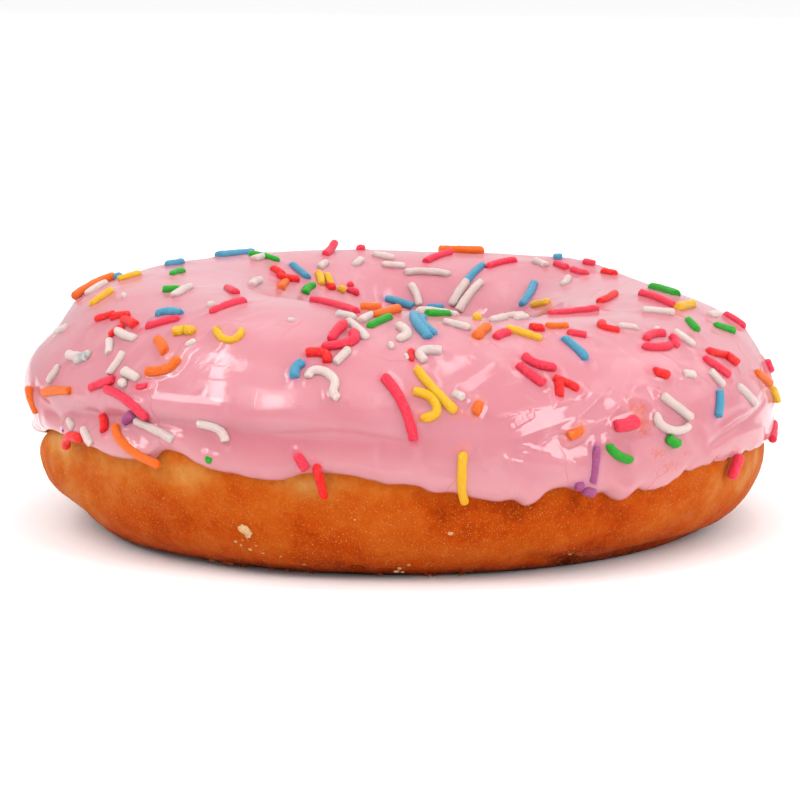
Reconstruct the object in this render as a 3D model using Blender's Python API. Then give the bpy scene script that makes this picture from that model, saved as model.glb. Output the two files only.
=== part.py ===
"""A ring doughnut of yeast dough with a cap of pink icing, in metres, +Z up.

The dough stands on a flat foot and has a crease where its crown and its base met as they fried. The icing lies
over the crown and runs down past the crease to a wavy edge, outside and in the hole.

Azimuth is in degrees about +Z: 0 is the front (-Y) and 90 is the right (+X). A section angle is in degrees
about the tube's core: 0 points away from the axis, 90 up, 180 into the hole and 270 down.
The origin is the middle of the footprint, on the surface that the doughnut stands on.
"""

import math

import bmesh
import bpy
from mathutils import Vector

MM = 0.001

# Facets. The section's steps run from the icing's outer edge up to the crease, out to the ledge over it, over the
# crown to the icing's edge in the hole, down to the foot, across the foot, and up to the icing's outer edge again.
STEPS_AROUND = 80
SECTION_STEPS = (2, 2, 10, 4, 1, 5)
ICED_STEPS = sum(SECTION_STEPS[:3])
HALVINGS = 30

# The dough's section, in millimetres. A squareness is a superellipse's exponent: 2 is an ellipse.
CORE_HEIGHT = 13.5
CROWN_SQUARENESS = 2.2
BASE_SQUARENESS = 2.8
FOOT_CUT = 0.7
CREASE_HALF_WIDTH = 2.4
LEDGE_RISE = 4.0

# Where a height is looked for, as the section angles of a lower and a higher point.
OUTSIDE = (-60, 80)
IN_THE_HOLE = (240, 120)

# Each curve goes once round the ring through (azimuth in degrees, millimetres).
CROWN_REACH = [(-90, 46.2), (-45, 46.2), (0, 46.0), (45, 46.0), (90, 45.8), (135, 45.6), (180, 45.8), (225, 46.0)]
BASE_REACH = [(-90, 45.6), (-45, 45.2), (0, 45.0), (45, 45.6), (90, 46.6), (135, 45.6), (180, 45.2), (225, 45.2)]
HOLE_REACH = [(-90, 9.0), (0, 10.5), (90, 13.0), (180, 10.5)]
TOP_HEIGHT = [
    (-90, 29.0),
    (-45, 28.5),
    (0, 27.7),
    (30, 26.3),
    (60, 26.4),
    (90, 26.9),
    (120, 27.2),
    (150, 28.3),
    (180, 28.6),
    (225, 29.0),
]
CREASE_HEIGHT = [
    (-90, 12.2),
    (-60, 17.5),
    (-30, 18.8),
    (0, 18.5),
    (30, 17.5),
    (60, 16.0),
    (90, 13.5),
    (135, 15.0),
    (180, 16.0),
    (225, 15.0),
]
CREASE_DEPTH = [(-90, 2.4), (-45, 2.2), (0, 1.8), (45, 0.6), (70, 1.4), (90, 1.2), (135, 1.4), (180, 1.6), (225, 1.6)]

# The icing, in millimetres. It fills part of the crease, and its lip rounds off within this distance of its edge.
ICING_THICKNESS = 1.5
ICING_CLEARANCE = 0.3
ICING_CREASE_SHARE = 0.8
ICING_LIP = 2.4
LIP_POINTS = (0.4, 1.2)
ICING_HOLE_EDGE_HEIGHT = [(-90, 13.0), (0, 14.0), (90, 12.5), (180, 13.5)]
ICING_EDGE_HEIGHT = [
    (-85, 10.8),
    (-68, 12.8),
    (-50, 13.3),
    (-42, 12.9),
    (-36, 14.8),
    (-29, 13.9),
    (-20, 12.6),
    (-11, 13.5),
    (-2, 12.5),
    (7, 10.9),
    (17, 9.7),
    (24, 11.4),
    (33, 9.3),
    (44, 10.7),
    (58, 11.6),
    (72, 11.8),
    (88, 11.0),
    (104, 12.5),
    (120, 10.8),
    (136, 12.6),
    (150, 11.0),
    (167, 13.4),
    (184, 11.2),
    (200, 12.8),
    (215, 10.6),
    (232, 13.6),
    (250, 11.6),
]


def closed_curve(points):
    """A smooth closed function of azimuth through these (degrees, value) points, as a Catmull-Rom spline."""
    points = sorted((azimuth % 360, value) for azimuth, value in points)
    count = len(points)

    def at(azimuth):
        azimuth %= 360
        after = next((i for i, point in enumerate(points) if point[0] > azimuth), count)
        knots = []
        for index in range(after - 2, after + 2):
            turn, place = divmod(index, count)
            knots.append((points[place][0] + 360 * turn, points[place][1]))
        (x0, y0), (x1, y1), (x2, y2), (x3, y3) = knots
        span = x2 - x1
        start_slope = (y2 - y0) / (x2 - x0) * span
        end_slope = (y3 - y1) / (x3 - x1) * span
        t = (azimuth - x1) / span
        return (
            (2 * t**3 - 3 * t**2 + 1) * y1
            + (t**3 - 2 * t**2 + t) * start_slope
            + (3 * t**2 - 2 * t**3) * y2
            + (t**3 - t**2) * end_slope
        )

    return at


crown_reach = closed_curve(CROWN_REACH)
base_reach = closed_curve(BASE_REACH)
hole_reach = closed_curve(HOLE_REACH)
top_height = closed_curve(TOP_HEIGHT)
crease_height = closed_curve(CREASE_HEIGHT)
crease_depth = closed_curve(CREASE_DEPTH)
icing_edge_height = closed_curve(ICING_EDGE_HEIGHT)
icing_hole_edge_height = closed_curve(ICING_HOLE_EDGE_HEIGHT)


def core_radius(azimuth):
    return (crown_reach(azimuth) + hole_reach(azimuth)) / 2


def smooth_step(value):
    value = min(max(value, 0), 1)
    return value * value * (3 - 2 * value)


def half_width(azimuth, across, up):
    """How far from the core the section's side is: outside, it goes from the base's reach to the crown's."""
    core = core_radius(azimuth)
    if across < 0:
        return core - hole_reach(azimuth)
    crown_share = smooth_step(0.5 + up)
    return base_reach(azimuth) * (1 - crown_share) + crown_reach(azimuth) * crown_share - core


def dough_reach(azimuth, angle, crease_share=1):
    """How far the dough's surface is from the tube's core, with the whole crease or a share of it."""
    across = math.cos(math.radians(angle))
    up = math.sin(math.radians(angle))
    if up > 0:
        squareness = CROWN_SQUARENESS
        half_height = top_height(azimuth) - CORE_HEIGHT
    else:
        squareness = BASE_SQUARENESS
        half_height = CORE_HEIGHT + FOOT_CUT
    width_share = abs(across / half_width(azimuth, across, up)) ** squareness
    height_share = abs(up / half_height) ** squareness
    reach = (width_share + height_share) ** (-1 / squareness)
    if up < 0:
        reach = min(reach, CORE_HEIGHT / -up)
    if across > 0:
        over_crease = CORE_HEIGHT + reach * up - crease_height(azimuth)
        reach -= crease_share * crease_depth(azimuth) * math.exp(-((over_crease / CREASE_HALF_WIDTH) ** 2))
    return reach


def section_point(azimuth, angle, reach):
    """The point, in metres, at a reach in millimetres from the tube's core."""
    radius = core_radius(azimuth) + reach * math.cos(math.radians(angle))
    height = CORE_HEIGHT + reach * math.sin(math.radians(angle))
    turn = math.radians(azimuth)
    return Vector((radius * math.sin(turn), -radius * math.cos(turn), height)) * MM


def angle_at_height(azimuth, height, between):
    """The section angle where the dough's surface is at this height, between a lower and a higher point."""
    low, high = between
    for _ in range(HALVINGS):
        middle = (low + high) / 2
        if CORE_HEIGHT + dough_reach(azimuth, middle) * math.sin(math.radians(middle)) < height:
            low = middle
        else:
            high = middle
    return (low + high) / 2


def foot_edge_angle(azimuth, side):
    """The section angle of the foot's edge: side is 1 for its outer edge and -1 for its edge in the hole."""
    core = core_radius(azimuth)
    width = base_reach(azimuth) - core if side > 0 else core - hole_reach(azimuth)
    height_share = (CORE_HEIGHT / (CORE_HEIGHT + FOOT_CUT)) ** BASE_SQUARENESS
    foot_half_width = width * (1 - height_share) ** (1 / BASE_SQUARENESS)
    return 270 + side * math.degrees(math.atan2(foot_half_width, CORE_HEIGHT))


def section_angles(azimuth):
    """The angles of the dough's outline, with points on the icing's edges, the crease and the foot's edges."""
    outer_edge = angle_at_height(azimuth, icing_edge_height(azimuth), OUTSIDE)
    corners = (
        outer_edge,
        angle_at_height(azimuth, crease_height(azimuth), OUTSIDE),
        angle_at_height(azimuth, crease_height(azimuth) + LEDGE_RISE, OUTSIDE),
        angle_at_height(azimuth, icing_hole_edge_height(azimuth), IN_THE_HOLE),
        foot_edge_angle(azimuth, -1),
        foot_edge_angle(azimuth, 1),
        outer_edge + 360,
    )
    angles = []
    for start, end, steps in zip(corners, corners[1:], SECTION_STEPS):
        angles += [start + (end - start) * i / steps for i in range(steps)]
    return angles


def dough_section(azimuth):
    return [section_point(azimuth, angle, dough_reach(azimuth, angle)) for angle in section_angles(azimuth)]


def icing_thickness(from_edge):
    """The icing's thickness at a distance from its edge. Both are in millimetres."""
    short_of_full = max(0, 1 - from_edge / ICING_LIP)
    return ICING_THICKNESS * math.sqrt(1 - short_of_full**2)


def icing_section(azimuth):
    """The icing's outline: its underside from the outer edge to the edge in the hole, then its outside back."""
    angles = section_angles(azimuth)[: ICED_STEPS + 1]
    outline = []
    for angle in angles:
        outline.append(section_point(azimuth, angle, dough_reach(azimuth, angle) + ICING_CLEARANCE))
    edge, hole_edge = angles[0], angles[-1]
    degrees_per_mm = math.degrees(1 / dough_reach(azimuth, edge))
    lip = [distance * degrees_per_mm for distance in LIP_POINTS]
    outside = [edge + turn for turn in lip] + angles[1:-1] + [hole_edge - turn for turn in reversed(lip)]
    for angle in reversed(outside):
        from_edge = min(angle - edge, hole_edge - angle) / degrees_per_mm
        reach = dough_reach(azimuth, angle, ICING_CREASE_SHARE) + ICING_CLEARANCE + icing_thickness(from_edge)
        outline.append(section_point(azimuth, angle, reach))
    return outline


def ring_mesh(name, section):
    """A closed ring of triangles that joins one section to the next, all the way round."""
    bm = bmesh.new()
    rows = []
    for i in range(STEPS_AROUND):
        rows.append([bm.verts.new(point) for point in section(360 * i / STEPS_AROUND)])
    for row, following in zip(rows, rows[1:] + rows[:1]):
        for i in range(len(row)):
            bm.faces.new((row[i - 1], following[i - 1], following[i]))
            bm.faces.new((row[i - 1], following[i], row[i]))
    bmesh.ops.recalc_face_normals(bm, faces=bm.faces)
    mesh = bpy.data.meshes.new(name)
    bm.to_mesh(mesh)
    bm.free()
    mesh.shade_smooth()
    return mesh


def surface_material(name, colour, roughness):
    material = bpy.data.materials.new(name)
    material.use_nodes = True
    shader = material.node_tree.nodes["Principled BSDF"]
    shader.inputs["Base Color"].default_value = (*colour, 1)
    shader.inputs["Roughness"].default_value = roughness
    return material


def add_piece(name, section, material):
    piece = bpy.data.objects.new(name, ring_mesh(name, section))
    piece.data.materials.append(material)
    bpy.context.scene.collection.objects.link(piece)


def main():
    for obj in list(bpy.data.objects):
        bpy.data.objects.remove(obj)
    add_piece("dough", dough_section, surface_material("fried_dough", (0.58, 0.17, 0.04), 0.55))
    add_piece("icing", icing_section, surface_material("pink_icing", (0.86, 0.36, 0.42), 0.2))


main()
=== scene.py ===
import math
import random

import bmesh
import bpy
import numpy as np
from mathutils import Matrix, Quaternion, Vector, kdtree, noise


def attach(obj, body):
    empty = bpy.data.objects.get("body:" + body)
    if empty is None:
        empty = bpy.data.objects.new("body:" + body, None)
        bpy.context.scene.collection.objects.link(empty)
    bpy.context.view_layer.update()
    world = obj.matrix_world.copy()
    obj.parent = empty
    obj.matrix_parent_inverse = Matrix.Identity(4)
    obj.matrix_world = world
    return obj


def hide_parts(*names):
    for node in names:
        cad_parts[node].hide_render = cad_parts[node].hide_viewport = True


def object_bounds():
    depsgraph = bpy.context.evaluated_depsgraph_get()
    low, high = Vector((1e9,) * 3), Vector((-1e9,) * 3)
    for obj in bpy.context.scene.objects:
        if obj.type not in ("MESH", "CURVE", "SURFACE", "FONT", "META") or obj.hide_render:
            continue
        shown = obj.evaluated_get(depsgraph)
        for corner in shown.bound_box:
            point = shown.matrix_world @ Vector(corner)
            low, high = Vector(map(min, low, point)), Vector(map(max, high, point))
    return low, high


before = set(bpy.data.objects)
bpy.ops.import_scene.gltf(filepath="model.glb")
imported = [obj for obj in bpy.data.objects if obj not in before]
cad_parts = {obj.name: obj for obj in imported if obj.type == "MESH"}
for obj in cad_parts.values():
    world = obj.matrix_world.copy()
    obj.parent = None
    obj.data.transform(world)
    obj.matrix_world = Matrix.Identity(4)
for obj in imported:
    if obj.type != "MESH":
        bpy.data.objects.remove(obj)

# The looks of the sprinkle frosted doughnut: its fried dough, pink icing, sugar sprinkles in eight colours
# and a few crumbs, on a pale floor. The dough and the icing take the CAD's shape from the same curves and
# add the fine surface. Everything is in the CAD's frame: +Z up, the front is -Y.
#
# Azimuth is in degrees about +Z: 0 is the front (-Y) and 90 is the right (+X). A section angle is in
# degrees about the tube's core: 0 points away from the axis, 90 up, 180 into the hole and 270 down. Lengths
# are in millimetres until a mesh is made, and in metres in the materials and on the stage.

MM = 0.001
CAD_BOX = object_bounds()
SEED = 7
TINY = 1e-9

# ---------------------------------------------------------------- the section's formula, as in the CAD

CORE_HEIGHT = 13.5
CROWN_SQUARENESS = 2.2
BASE_SQUARENESS = 2.8
FOOT_CUT = 0.7
CREASE_HALF_WIDTH = 2.4

# Where a height is looked for, as the section angles of a lower and a higher point, and in how many steps.
OUTSIDE = (-60, 80)
IN_THE_HOLE = (240, 120)
HALVINGS = 30


def closed_curve(points):
    """A smooth closed function of azimuth through (degrees, value) points, as a Catmull-Rom spline."""
    once = sorted((azimuth % 360, value) for azimuth, value in points)
    knots = np.array([(azimuth + turn, value) for turn in (-360, 0, 360) for azimuth, value in once])

    def at(azimuth):
        azimuth = np.mod(azimuth, 360)
        after = np.searchsorted(knots[:, 0], azimuth, side="right")
        (x0, x1, x2, x3), (y0, y1, y2, y3) = ([knots[after + i, k] for i in (-2, -1, 0, 1)] for k in (0, 1))
        span = x2 - x1
        start_slope = (y2 - y0) / (x2 - x0) * span
        end_slope = (y3 - y1) / (x3 - x1) * span
        x = (azimuth - x1) / span
        start = (2 * x**3 - 3 * x**2 + 1) * y1 + (x**3 - 2 * x**2 + x) * start_slope
        return start + (3 * x**2 - 2 * x**3) * y2 + (x**3 - x**2) * end_slope

    return at


# Each curve goes once round the ring through (azimuth in degrees, millimetres).
crown_reach = closed_curve([
    (-90, 46.2), (-45, 46.2), (0, 46), (45, 46), (90, 45.8), (135, 45.6), (180, 45.8), (225, 46),
])
base_reach = closed_curve([
    (-90, 45.6), (-45, 45.2), (0, 45), (45, 45.6), (90, 46.6), (135, 45.6), (180, 45.2), (225, 45.2),
])
hole_reach = closed_curve([(-90, 9), (0, 10.5), (90, 13), (180, 10.5)])
top_height = closed_curve([
    (-90, 29), (-45, 28.5), (0, 27.7), (30, 26.3), (60, 26.4), (90, 26.9), (120, 27.2), (150, 28.3),
    (180, 28.6), (225, 29),
])
crease_height = closed_curve([
    (-90, 12.2), (-60, 17.5), (-30, 18.8), (0, 18.5), (30, 17.5), (60, 16), (90, 13.5), (135, 15),
    (180, 16), (225, 15),
])
crease_depth = closed_curve([
    (-90, 2.4), (-45, 2.2), (0, 1.8), (45, 0.6), (70, 1.4), (90, 1.2), (135, 1.4), (180, 1.6), (225, 1.6),
])
icing_hole_edge_height = closed_curve([(-90, 13), (0, 14), (90, 12.5), (180, 13.5)])

# The icing's outer edge follows the CAD's, with the small steps and drips that its solid leaves out.
icing_edge_height = closed_curve([
    (-85, 11.2), (-76, 12.6), (-64, 14), (-58, 13.9), (-54, 13.8), (-50, 13.5), (-46, 13), (-42, 13.1),
    (-38.2, 13.5), (-37.2, 14.2), (-36.2, 14.7), (-34, 14.7), (-32, 14.2), (-30, 13.6), (-28, 13.1),
    (-25, 12.9), (-22, 12.6), (-19, 12.4), (-17, 12.5), (-15.5, 12.8), (-14, 13.3), (-12, 13.45),
    (-9, 13.45), (-6.5, 13.2), (-4, 12.8), (-2, 12.4), (1, 12.3), (2.7, 12.1), (4, 11.6), (5, 11.4),
    (7.5, 11.4), (10, 10.8), (13, 10.3), (16, 10.35), (17.8, 9.7), (19.4, 10), (20.8, 10.9), (22.5, 11.4),
    (24, 11.35), (26, 10.8), (28, 10.4), (30.5, 10.2), (32.2, 9.4), (33.5, 9.2), (34.6, 9.4), (36, 10),
    (37, 10.1), (38.2, 9.85), (41, 9.85), (42.5, 10.2), (44.5, 10.8), (47, 11.1), (50, 11.4), (58, 11.6),
    (67, 11.6), (76, 11.6), (88, 11), (104, 12.5), (112, 11.2), (120, 10.8), (129, 12.3), (136, 12.6),
    (143, 11.2), (150, 11), (159, 12.9), (167, 13.4), (176, 11.7), (184, 11.2), (193, 12.5), (200, 12.8),
    (207, 11), (215, 10.6), (224, 12.8), (232, 13.6), (241, 12.2), (250, 11.6), (262, 12.4),
])

# The icing lies this far over the dough, as the CAD's clearance and thickness together do. It fills part of
# the crease and sets it lower: the share of its depth, how much lower, its half widths under and over.
ICING_THICKNESS = 1.8
icing_crease_share = closed_curve([
    (-90, 0.35), (-65, 0.5), (-48, 0.64), (-26, 0.6), (-12, 0.5), (0, 0.3), (15, 0.12), (45, 0.25),
    (70, 0.45), (110, 0.6), (180, 0.75), (225, 0.7),
])
icing_crease_drop = closed_curve([
    (-90, 0.5), (-48, 0.9), (-30, 1.1), (-18, 1.6), (-8, 1.8), (10, 1.5), (45, 0.8), (180, 0.8),
])
crease_under = closed_curve([
    (-90, 1.8), (-55, 1.8), (-42, 2.2), (-30, 4.2), (0, 4.6), (20, 4.2), (60, 2.6), (90, 2), (135, 2.2),
    (180, 2.4), (225, 2.2),
])
crease_over = closed_curve([
    (-90, 2.4), (-65, 1.7), (-48, 1.1), (-24, 1.1), (-14, 1.6), (0, 2.3), (45, 2.4), (90, 2.2), (135, 2.2),
    (180, 2), (225, 2.2),
])


def core_radius(azimuth):
    return (crown_reach(azimuth) + hole_reach(azimuth)) / 2


def smooth_step(value):
    value = np.clip(value, 0, 1)
    return value * value * (3 - 2 * value)


def half_width(azimuth, across, up):
    """How far from the core the section's side is: outside, from the base's reach to the crown's."""
    core = core_radius(azimuth)
    crown_share = smooth_step(0.5 + up)
    outside = base_reach(azimuth) * (1 - crown_share) + crown_reach(azimuth) * crown_share - core
    return np.where(across < 0, core - hole_reach(azimuth), outside)


def dough_reach(azimuth, angle, crease_share=1):
    """How far the dough's surface is from the tube's core, with the whole crease or a share of it."""
    across = np.cos(np.radians(angle))
    up = np.sin(np.radians(angle))
    squareness = np.where(up > 0, CROWN_SQUARENESS, BASE_SQUARENESS)
    half_height = np.where(up > 0, top_height(azimuth) - CORE_HEIGHT, CORE_HEIGHT + FOOT_CUT)
    width_share = np.abs(across / half_width(azimuth, across, up)) ** squareness
    height_share = np.abs(up / half_height) ** squareness
    reach = (width_share + height_share) ** (-1 / squareness)
    reach = np.where(up < 0, np.minimum(reach, CORE_HEIGHT / np.maximum(-up, TINY)), reach)
    over_crease = CORE_HEIGHT + reach * up - crease_height(azimuth)
    crease = crease_share * crease_depth(azimuth) * np.exp(-((over_crease / CREASE_HALF_WIDTH) ** 2))
    return reach - np.where(across > 0, crease, 0)


def icing_crease(azimuth, angle):
    """How deep the crease is in the icing's surface, and that as a share of its depth all the way in."""
    over = CORE_HEIGHT + dough_reach(azimuth, angle, 0) * np.sin(np.radians(angle))
    over = over - crease_height(azimuth) + icing_crease_drop(azimuth)
    half = np.where(over > 0, crease_over(azimuth), crease_under(azimuth))
    profile = np.where(np.cos(np.radians(angle)) > 0, np.exp(-((over / half) ** 2)), 0)
    return icing_crease_share(azimuth) * crease_depth(azimuth) * profile, profile


def iced_reach(azimuth, angle):
    """How far the surface under full icing is from the core."""
    return dough_reach(azimuth, angle, 0) - icing_crease(azimuth, angle)[0]


def section_point(azimuth, angle, reach):
    """The points, in millimetres, at a reach from the tube's core."""
    radius = core_radius(azimuth) + reach * np.cos(np.radians(angle))
    height = CORE_HEIGHT + reach * np.sin(np.radians(angle))
    turn = np.radians(azimuth)
    return np.stack([radius * np.sin(turn), -radius * np.cos(turn), height], axis=-1)


def angle_at_height(azimuth, height, between):
    """The section angle where the dough's surface is at this height, between a lower and a higher point."""
    low, high = (np.full_like(azimuth, angle) for angle in between)
    for _ in range(HALVINGS):
        middle = (low + high) / 2
        below = CORE_HEIGHT + dough_reach(azimuth, middle) * np.sin(np.radians(middle)) < height
        low = np.where(below, middle, low)
        high = np.where(below, high, middle)
    return (low + high) / 2


def foot_edge_angle(azimuth, side):
    """The section angle of the foot's edge: side is 1 for its outer edge and -1 for the one in the hole."""
    core = core_radius(azimuth)
    width = base_reach(azimuth) - core if side > 0 else core - hole_reach(azimuth)
    height_share = (CORE_HEIGHT / (CORE_HEIGHT + FOOT_CUT)) ** BASE_SQUARENESS
    foot_half_width = width * (1 - height_share) ** (1 / BASE_SQUARENESS)
    return 270 + side * np.degrees(np.arctan2(foot_half_width, CORE_HEIGHT))


# ---------------------------------------------------------------- uneven surfaces

# About how long a degree is on the surface: round its outside, and of section angle.
OUTER_RADIUS = 46
TUBE_RADIUS = 19
OUTER_MM_PER_DEGREE = math.radians(OUTER_RADIUS)
SECTION_MM_PER_DEGREE = math.radians(TUBE_RADIUS)

# Each kind of lumps has its own place in the noise, this far on for each number.
NOISE_STEP = (17.3, 5.1, 11.7)


def lumps(points, place, *layers):
    """Smooth noise, added up from layers of (size of the lumps, how far they stand out)."""
    total = np.zeros(points.shape[:-1])
    for number, (size, height) in enumerate(layers, place):
        offset = Vector([number * step for step in NOISE_STEP])
        values = [noise.noise(Vector(point) + offset) for point in (points.reshape(-1, 3) / size).tolist()]
        total += height * np.array(values).reshape(total.shape)
    return total


def steps_between(ends, counts, axis=0):
    """Evenly stepped values from each end up to the next, with this many steps each."""
    parts = []
    for start, end, count in zip(ends, ends[1:], counts):
        parts.append(start + (end - start) * np.arange(count) / count)
    return np.concatenate(parts, axis)


def unit(vectors):
    return vectors / np.linalg.norm(vectors, axis=-1, keepdims=True)


def bump_at(x, middle, half_width):
    return np.exp(-(((x - middle) / half_width) ** 2))


def azimuth_from(azimuth, middle):
    """How many degrees round from the middle, between -180 and 180."""
    return np.mod(azimuth - middle + 180, 360) - 180


def bump_round(azimuth, middle, half_width):
    return bump_at(azimuth_from(azimuth, middle), 0, half_width)


def patches(spots, azimuth, other):
    """Soft patches, each an azimuth, a height or section angle, their two half widths, and an amount."""
    return sum(
        amount * bump_round(azimuth, middle, wide) * bump_at(other, level, high)
        for middle, level, wide, high, amount in spots
    )


def distance_to_segment(x, y, start, end):
    along = np.subtract(end, start)
    share = ((x - start[0]) * along[0] + (y - start[1]) * along[1]) / max(along @ along, TINY)
    share = np.clip(share, 0, 1)
    return np.hypot(x - start[0] - share * along[0], y - start[1] - share * along[1])


def distance_to_line(azimuth, other, points, mm_per_other=SECTION_MM_PER_DEGREE):
    """The distance in millimetres from a line through (azimuth, section angle or height) points."""

    def flat(azimuth, other):
        return azimuth_from(azimuth, points[0][0]) * OUTER_MM_PER_DEGREE, other * mm_per_other

    here = flat(azimuth, other)
    corners = [flat(*point) for point in points]
    return np.minimum.reduce([distance_to_segment(*here, *ends) for ends in zip(corners, corners[1:])])


# ---------------------------------------------------------------- meshes and pieces

def add_object(name, data):
    made = bpy.data.objects.new(name, data)
    bpy.context.scene.collection.objects.link(made)
    return made


def add_piece(name, mesh, material, slot, *nodes):
    """Puts a finished piece in the scene, on the object's one body."""
    mesh.materials.append(material)
    piece = add_object(name, mesh)
    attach(piece, "root")
    if nodes:
        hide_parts(*nodes)


def add_pieces(kind, joined, make_material, slot):
    """One piece for each colour of sprinkles or crumbs."""
    for colour, shapes in joined.items():
        name = kind + "_" + colour
        add_piece(name, shapes.mesh(name), make_material(colour), slot)


def make_mesh(name, points, faces, attributes):
    """A smooth mesh from points in millimetres, with values at its points for the material."""
    mesh = bpy.data.meshes.new(name)
    mesh.from_pydata((points * MM).tolist(), [], faces)
    mesh.shade_smooth()
    for kind, values in attributes.items():
        attribute = mesh.attributes.new(kind, "FLOAT", "POINT")
        attribute.data.foreach_set("value", values.astype(np.float32).ravel())
    return mesh


def grid_mesh(name, points, attributes):
    """A mesh from points[step round the ring, row along the section], closed both ways."""
    index = np.arange(points[..., 0].size).reshape(points.shape[:2])
    onward = np.roll(index, -1, axis=0)
    faces = np.stack([index, onward, np.roll(onward, -1, axis=1), np.roll(index, -1, axis=1)], axis=-1)
    return make_mesh(name, points.reshape(-1, 3), faces.reshape(-1, 4).tolist(), attributes)


class Joined:
    """Many small shapes gathered into one mesh, each with a tone of its own for the material."""

    def __init__(self):
        self.points = []
        self.faces = []
        self.tones = []

    def add(self, points, faces, tone):
        start = len(self.points)
        self.points += list(points)
        self.faces += [[start + corner for corner in face] for face in faces]
        self.tones += [tone] * len(points)

    def mesh(self, name):
        return make_mesh(name, np.array(self.points), self.faces, {"tone": np.array(self.tones)})


# ---------------------------------------------------------------- the dough

DOUGH_STEPS = 600
DOUGH_ROWS = {"outside": 48, "under icing": 22, "hole": 26, "foot": 14}
UNDER_THE_ICING = 6.0

# Lumps, as their place in the noise and then (size of the lumps, how far they stand out), and the heights
# over the foot within which the lumps, the swells and the folds fade in.
DOUGH_LUMPS = (1, (17, 0.4), (6.5, 0.11))
DOUGH_SKIN = (5, (2.2, 0.05), (0.9, 0.035))
FOOT_FADE = 2.5
SWELL_FADE = 1.0
FOLD_FADE = 0.6

# Where the doughnut is fuller or flatter: azimuth, section angle, the two half widths in degrees, how much.
SWELLS = [
    (-90, 34, 20, 9, -0.8), (-82, 3, 10, 6, -0.55), (-77, -36, 13, 9, -1.2), (-57, -50, 8, 6, 0.3),
    (108, 58, 12, 14, -1.2), (134, 76, 12, 14, 0.9), (50, -50, 16, 7, -0.8),
]

# Folds of the dough, on its outer side: (azimuth, height) of each end, half width, depth.
DOUGH_FOLDS = [
    ((2.8, 11.2), (7.4, 7.6), 0.7, 0.4), ((9.6, 10.4), (13, 8.6), 0.8, 0.3),
    ((18.6, 9), (22.2, 11.2), 0.9, 0.35), ((-13, 9.4), (-6, 5.6), 0.4, 0.1),
    ((20.5, 2.6), (30, 1.2), 0.8, 0.55), ((-7.9, 1.5), (-6.3, 1.4), 0.3, 0.6),
    ((-62, 9.5), (-40, 6.5), 1.6, 0.3), ((38, 2.5), (52, 4.5), 1.4, 0.3), ((96, 7.5), (112, 9), 1, 0.35),
    ((150, 9.5), (163, 7), 0.9, 0.4), ((178, 3), (190, 2), 0.8, 0.5), ((214, 8.8), (231, 10.4), 1.1, 0.35),
    ((246, 4), (262, 6), 1.3, 0.3),
]

# Browning of the crust, from 0 at the pale proof line to 1 at the dark foot: (height, browning), then its
# lumps, then patches that change it: azimuth, height, the two half widths, amount. The darker patches just
# below the icing's front edge are painted shade under its lip as well as browning.
BROWNING = [(0, 1), (0.8, 0.86), (2, 0.7), (4, 0.6), (7, 0.55), (10, 0.53), (13, 0.49), (30, 0.4)]
BROWNING_LUMPS = (31, (9, 0.08), (3, 0.03))
CRUST_AND_SHADE_PATCHES = [
    (-62, 12.6, 8, 2.4, -0.36), (-47, 11.2, 6, 1.8, -0.1), (-34, 12, 6, 1.6, -0.2), (-31, 8, 5, 2.6, 0.12),
    (3, 7.2, 4, 2.4, 0.07), (14.5, 8.8, 4.5, 1.8, 0.06), (27, 8.3, 4, 2, 0.14), (36, 6.4, 4, 2, 0.1),
    (14.5, 3, 6, 1.6, -0.12), (-13, 11.8, 4.5, 1.8, -0.26), (-62, 6, 12, 3.5, -0.16),
    (-48, 4.2, 6, 2, 0.06), (-2, 8, 6, 3.5, 0.06), (5, 9.6, 4, 2.2, 0.08), (12, 9.8, 6, 1.6, 0.12),
    (19.5, 9.4, 3, 1.6, 0.12), (21, 4.6, 4, 1.8, -0.12), (31, 3.2, 5, 1.8, 0.16), (33, 7.6, 4, 1.6, 0.12),
    (43, 8.6, 4, 1.4, 0.1), (55, 8, 9, 3.4, -0.12), (42, 5, 6, 1.6, -0.1), (70, 9, 9, 4, -0.12),
    (98, 11.2, 9, 2.4, -0.3), (128, 8.5, 10, 3, -0.12), (152, 11.8, 9, 2.4, -0.34), (180, 6, 10, 2.5, 0.1),
    (203, 11.4, 10, 2.4, -0.3), (232, 9, 9, 2.6, -0.12), (256, 11.6, 9, 2.4, -0.34),
]

# Down the hole the crust is paler, from this height on, over this many millimetres.
PALER_IN_HOLE, PALER_FROM, PALER_OVER = 0.12, 1.5, 6


def dough_unevenness(azimuth, angle):
    """How far the dough's larger lumps stand out. The icing over them follows them."""
    points = section_point(azimuth, angle, dough_reach(azimuth, angle, 0))
    height = points[..., 2]
    uneven = lumps(points, *DOUGH_LUMPS) * smooth_step(height / FOOT_FADE)
    return uneven + patches(SWELLS, azimuth, angle) * smooth_step(height / SWELL_FADE)


def dough_surface(azimuth, angle):
    """The dough's fine surface in millimetres, with its folds."""
    smooth = section_point(azimuth, angle, dough_reach(azimuth, angle))
    height = smooth[..., 2]
    folds = 0
    for *ends, half, depth in DOUGH_FOLDS:
        folds += depth * bump_at(distance_to_line(azimuth, height, ends, 1), 0, half)
    outside = np.cos(np.radians(angle)) > 0
    relief = lumps(smooth, *DOUGH_SKIN) * smooth_step(height)
    relief -= np.where(outside, folds, 0) * smooth_step(height / FOLD_FADE)
    reach = dough_reach(azimuth, angle) + dough_unevenness(azimuth, angle) + relief
    points = section_point(azimuth, angle, reach)
    points[..., 2] = np.maximum(points[..., 2], 0)
    return points


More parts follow.
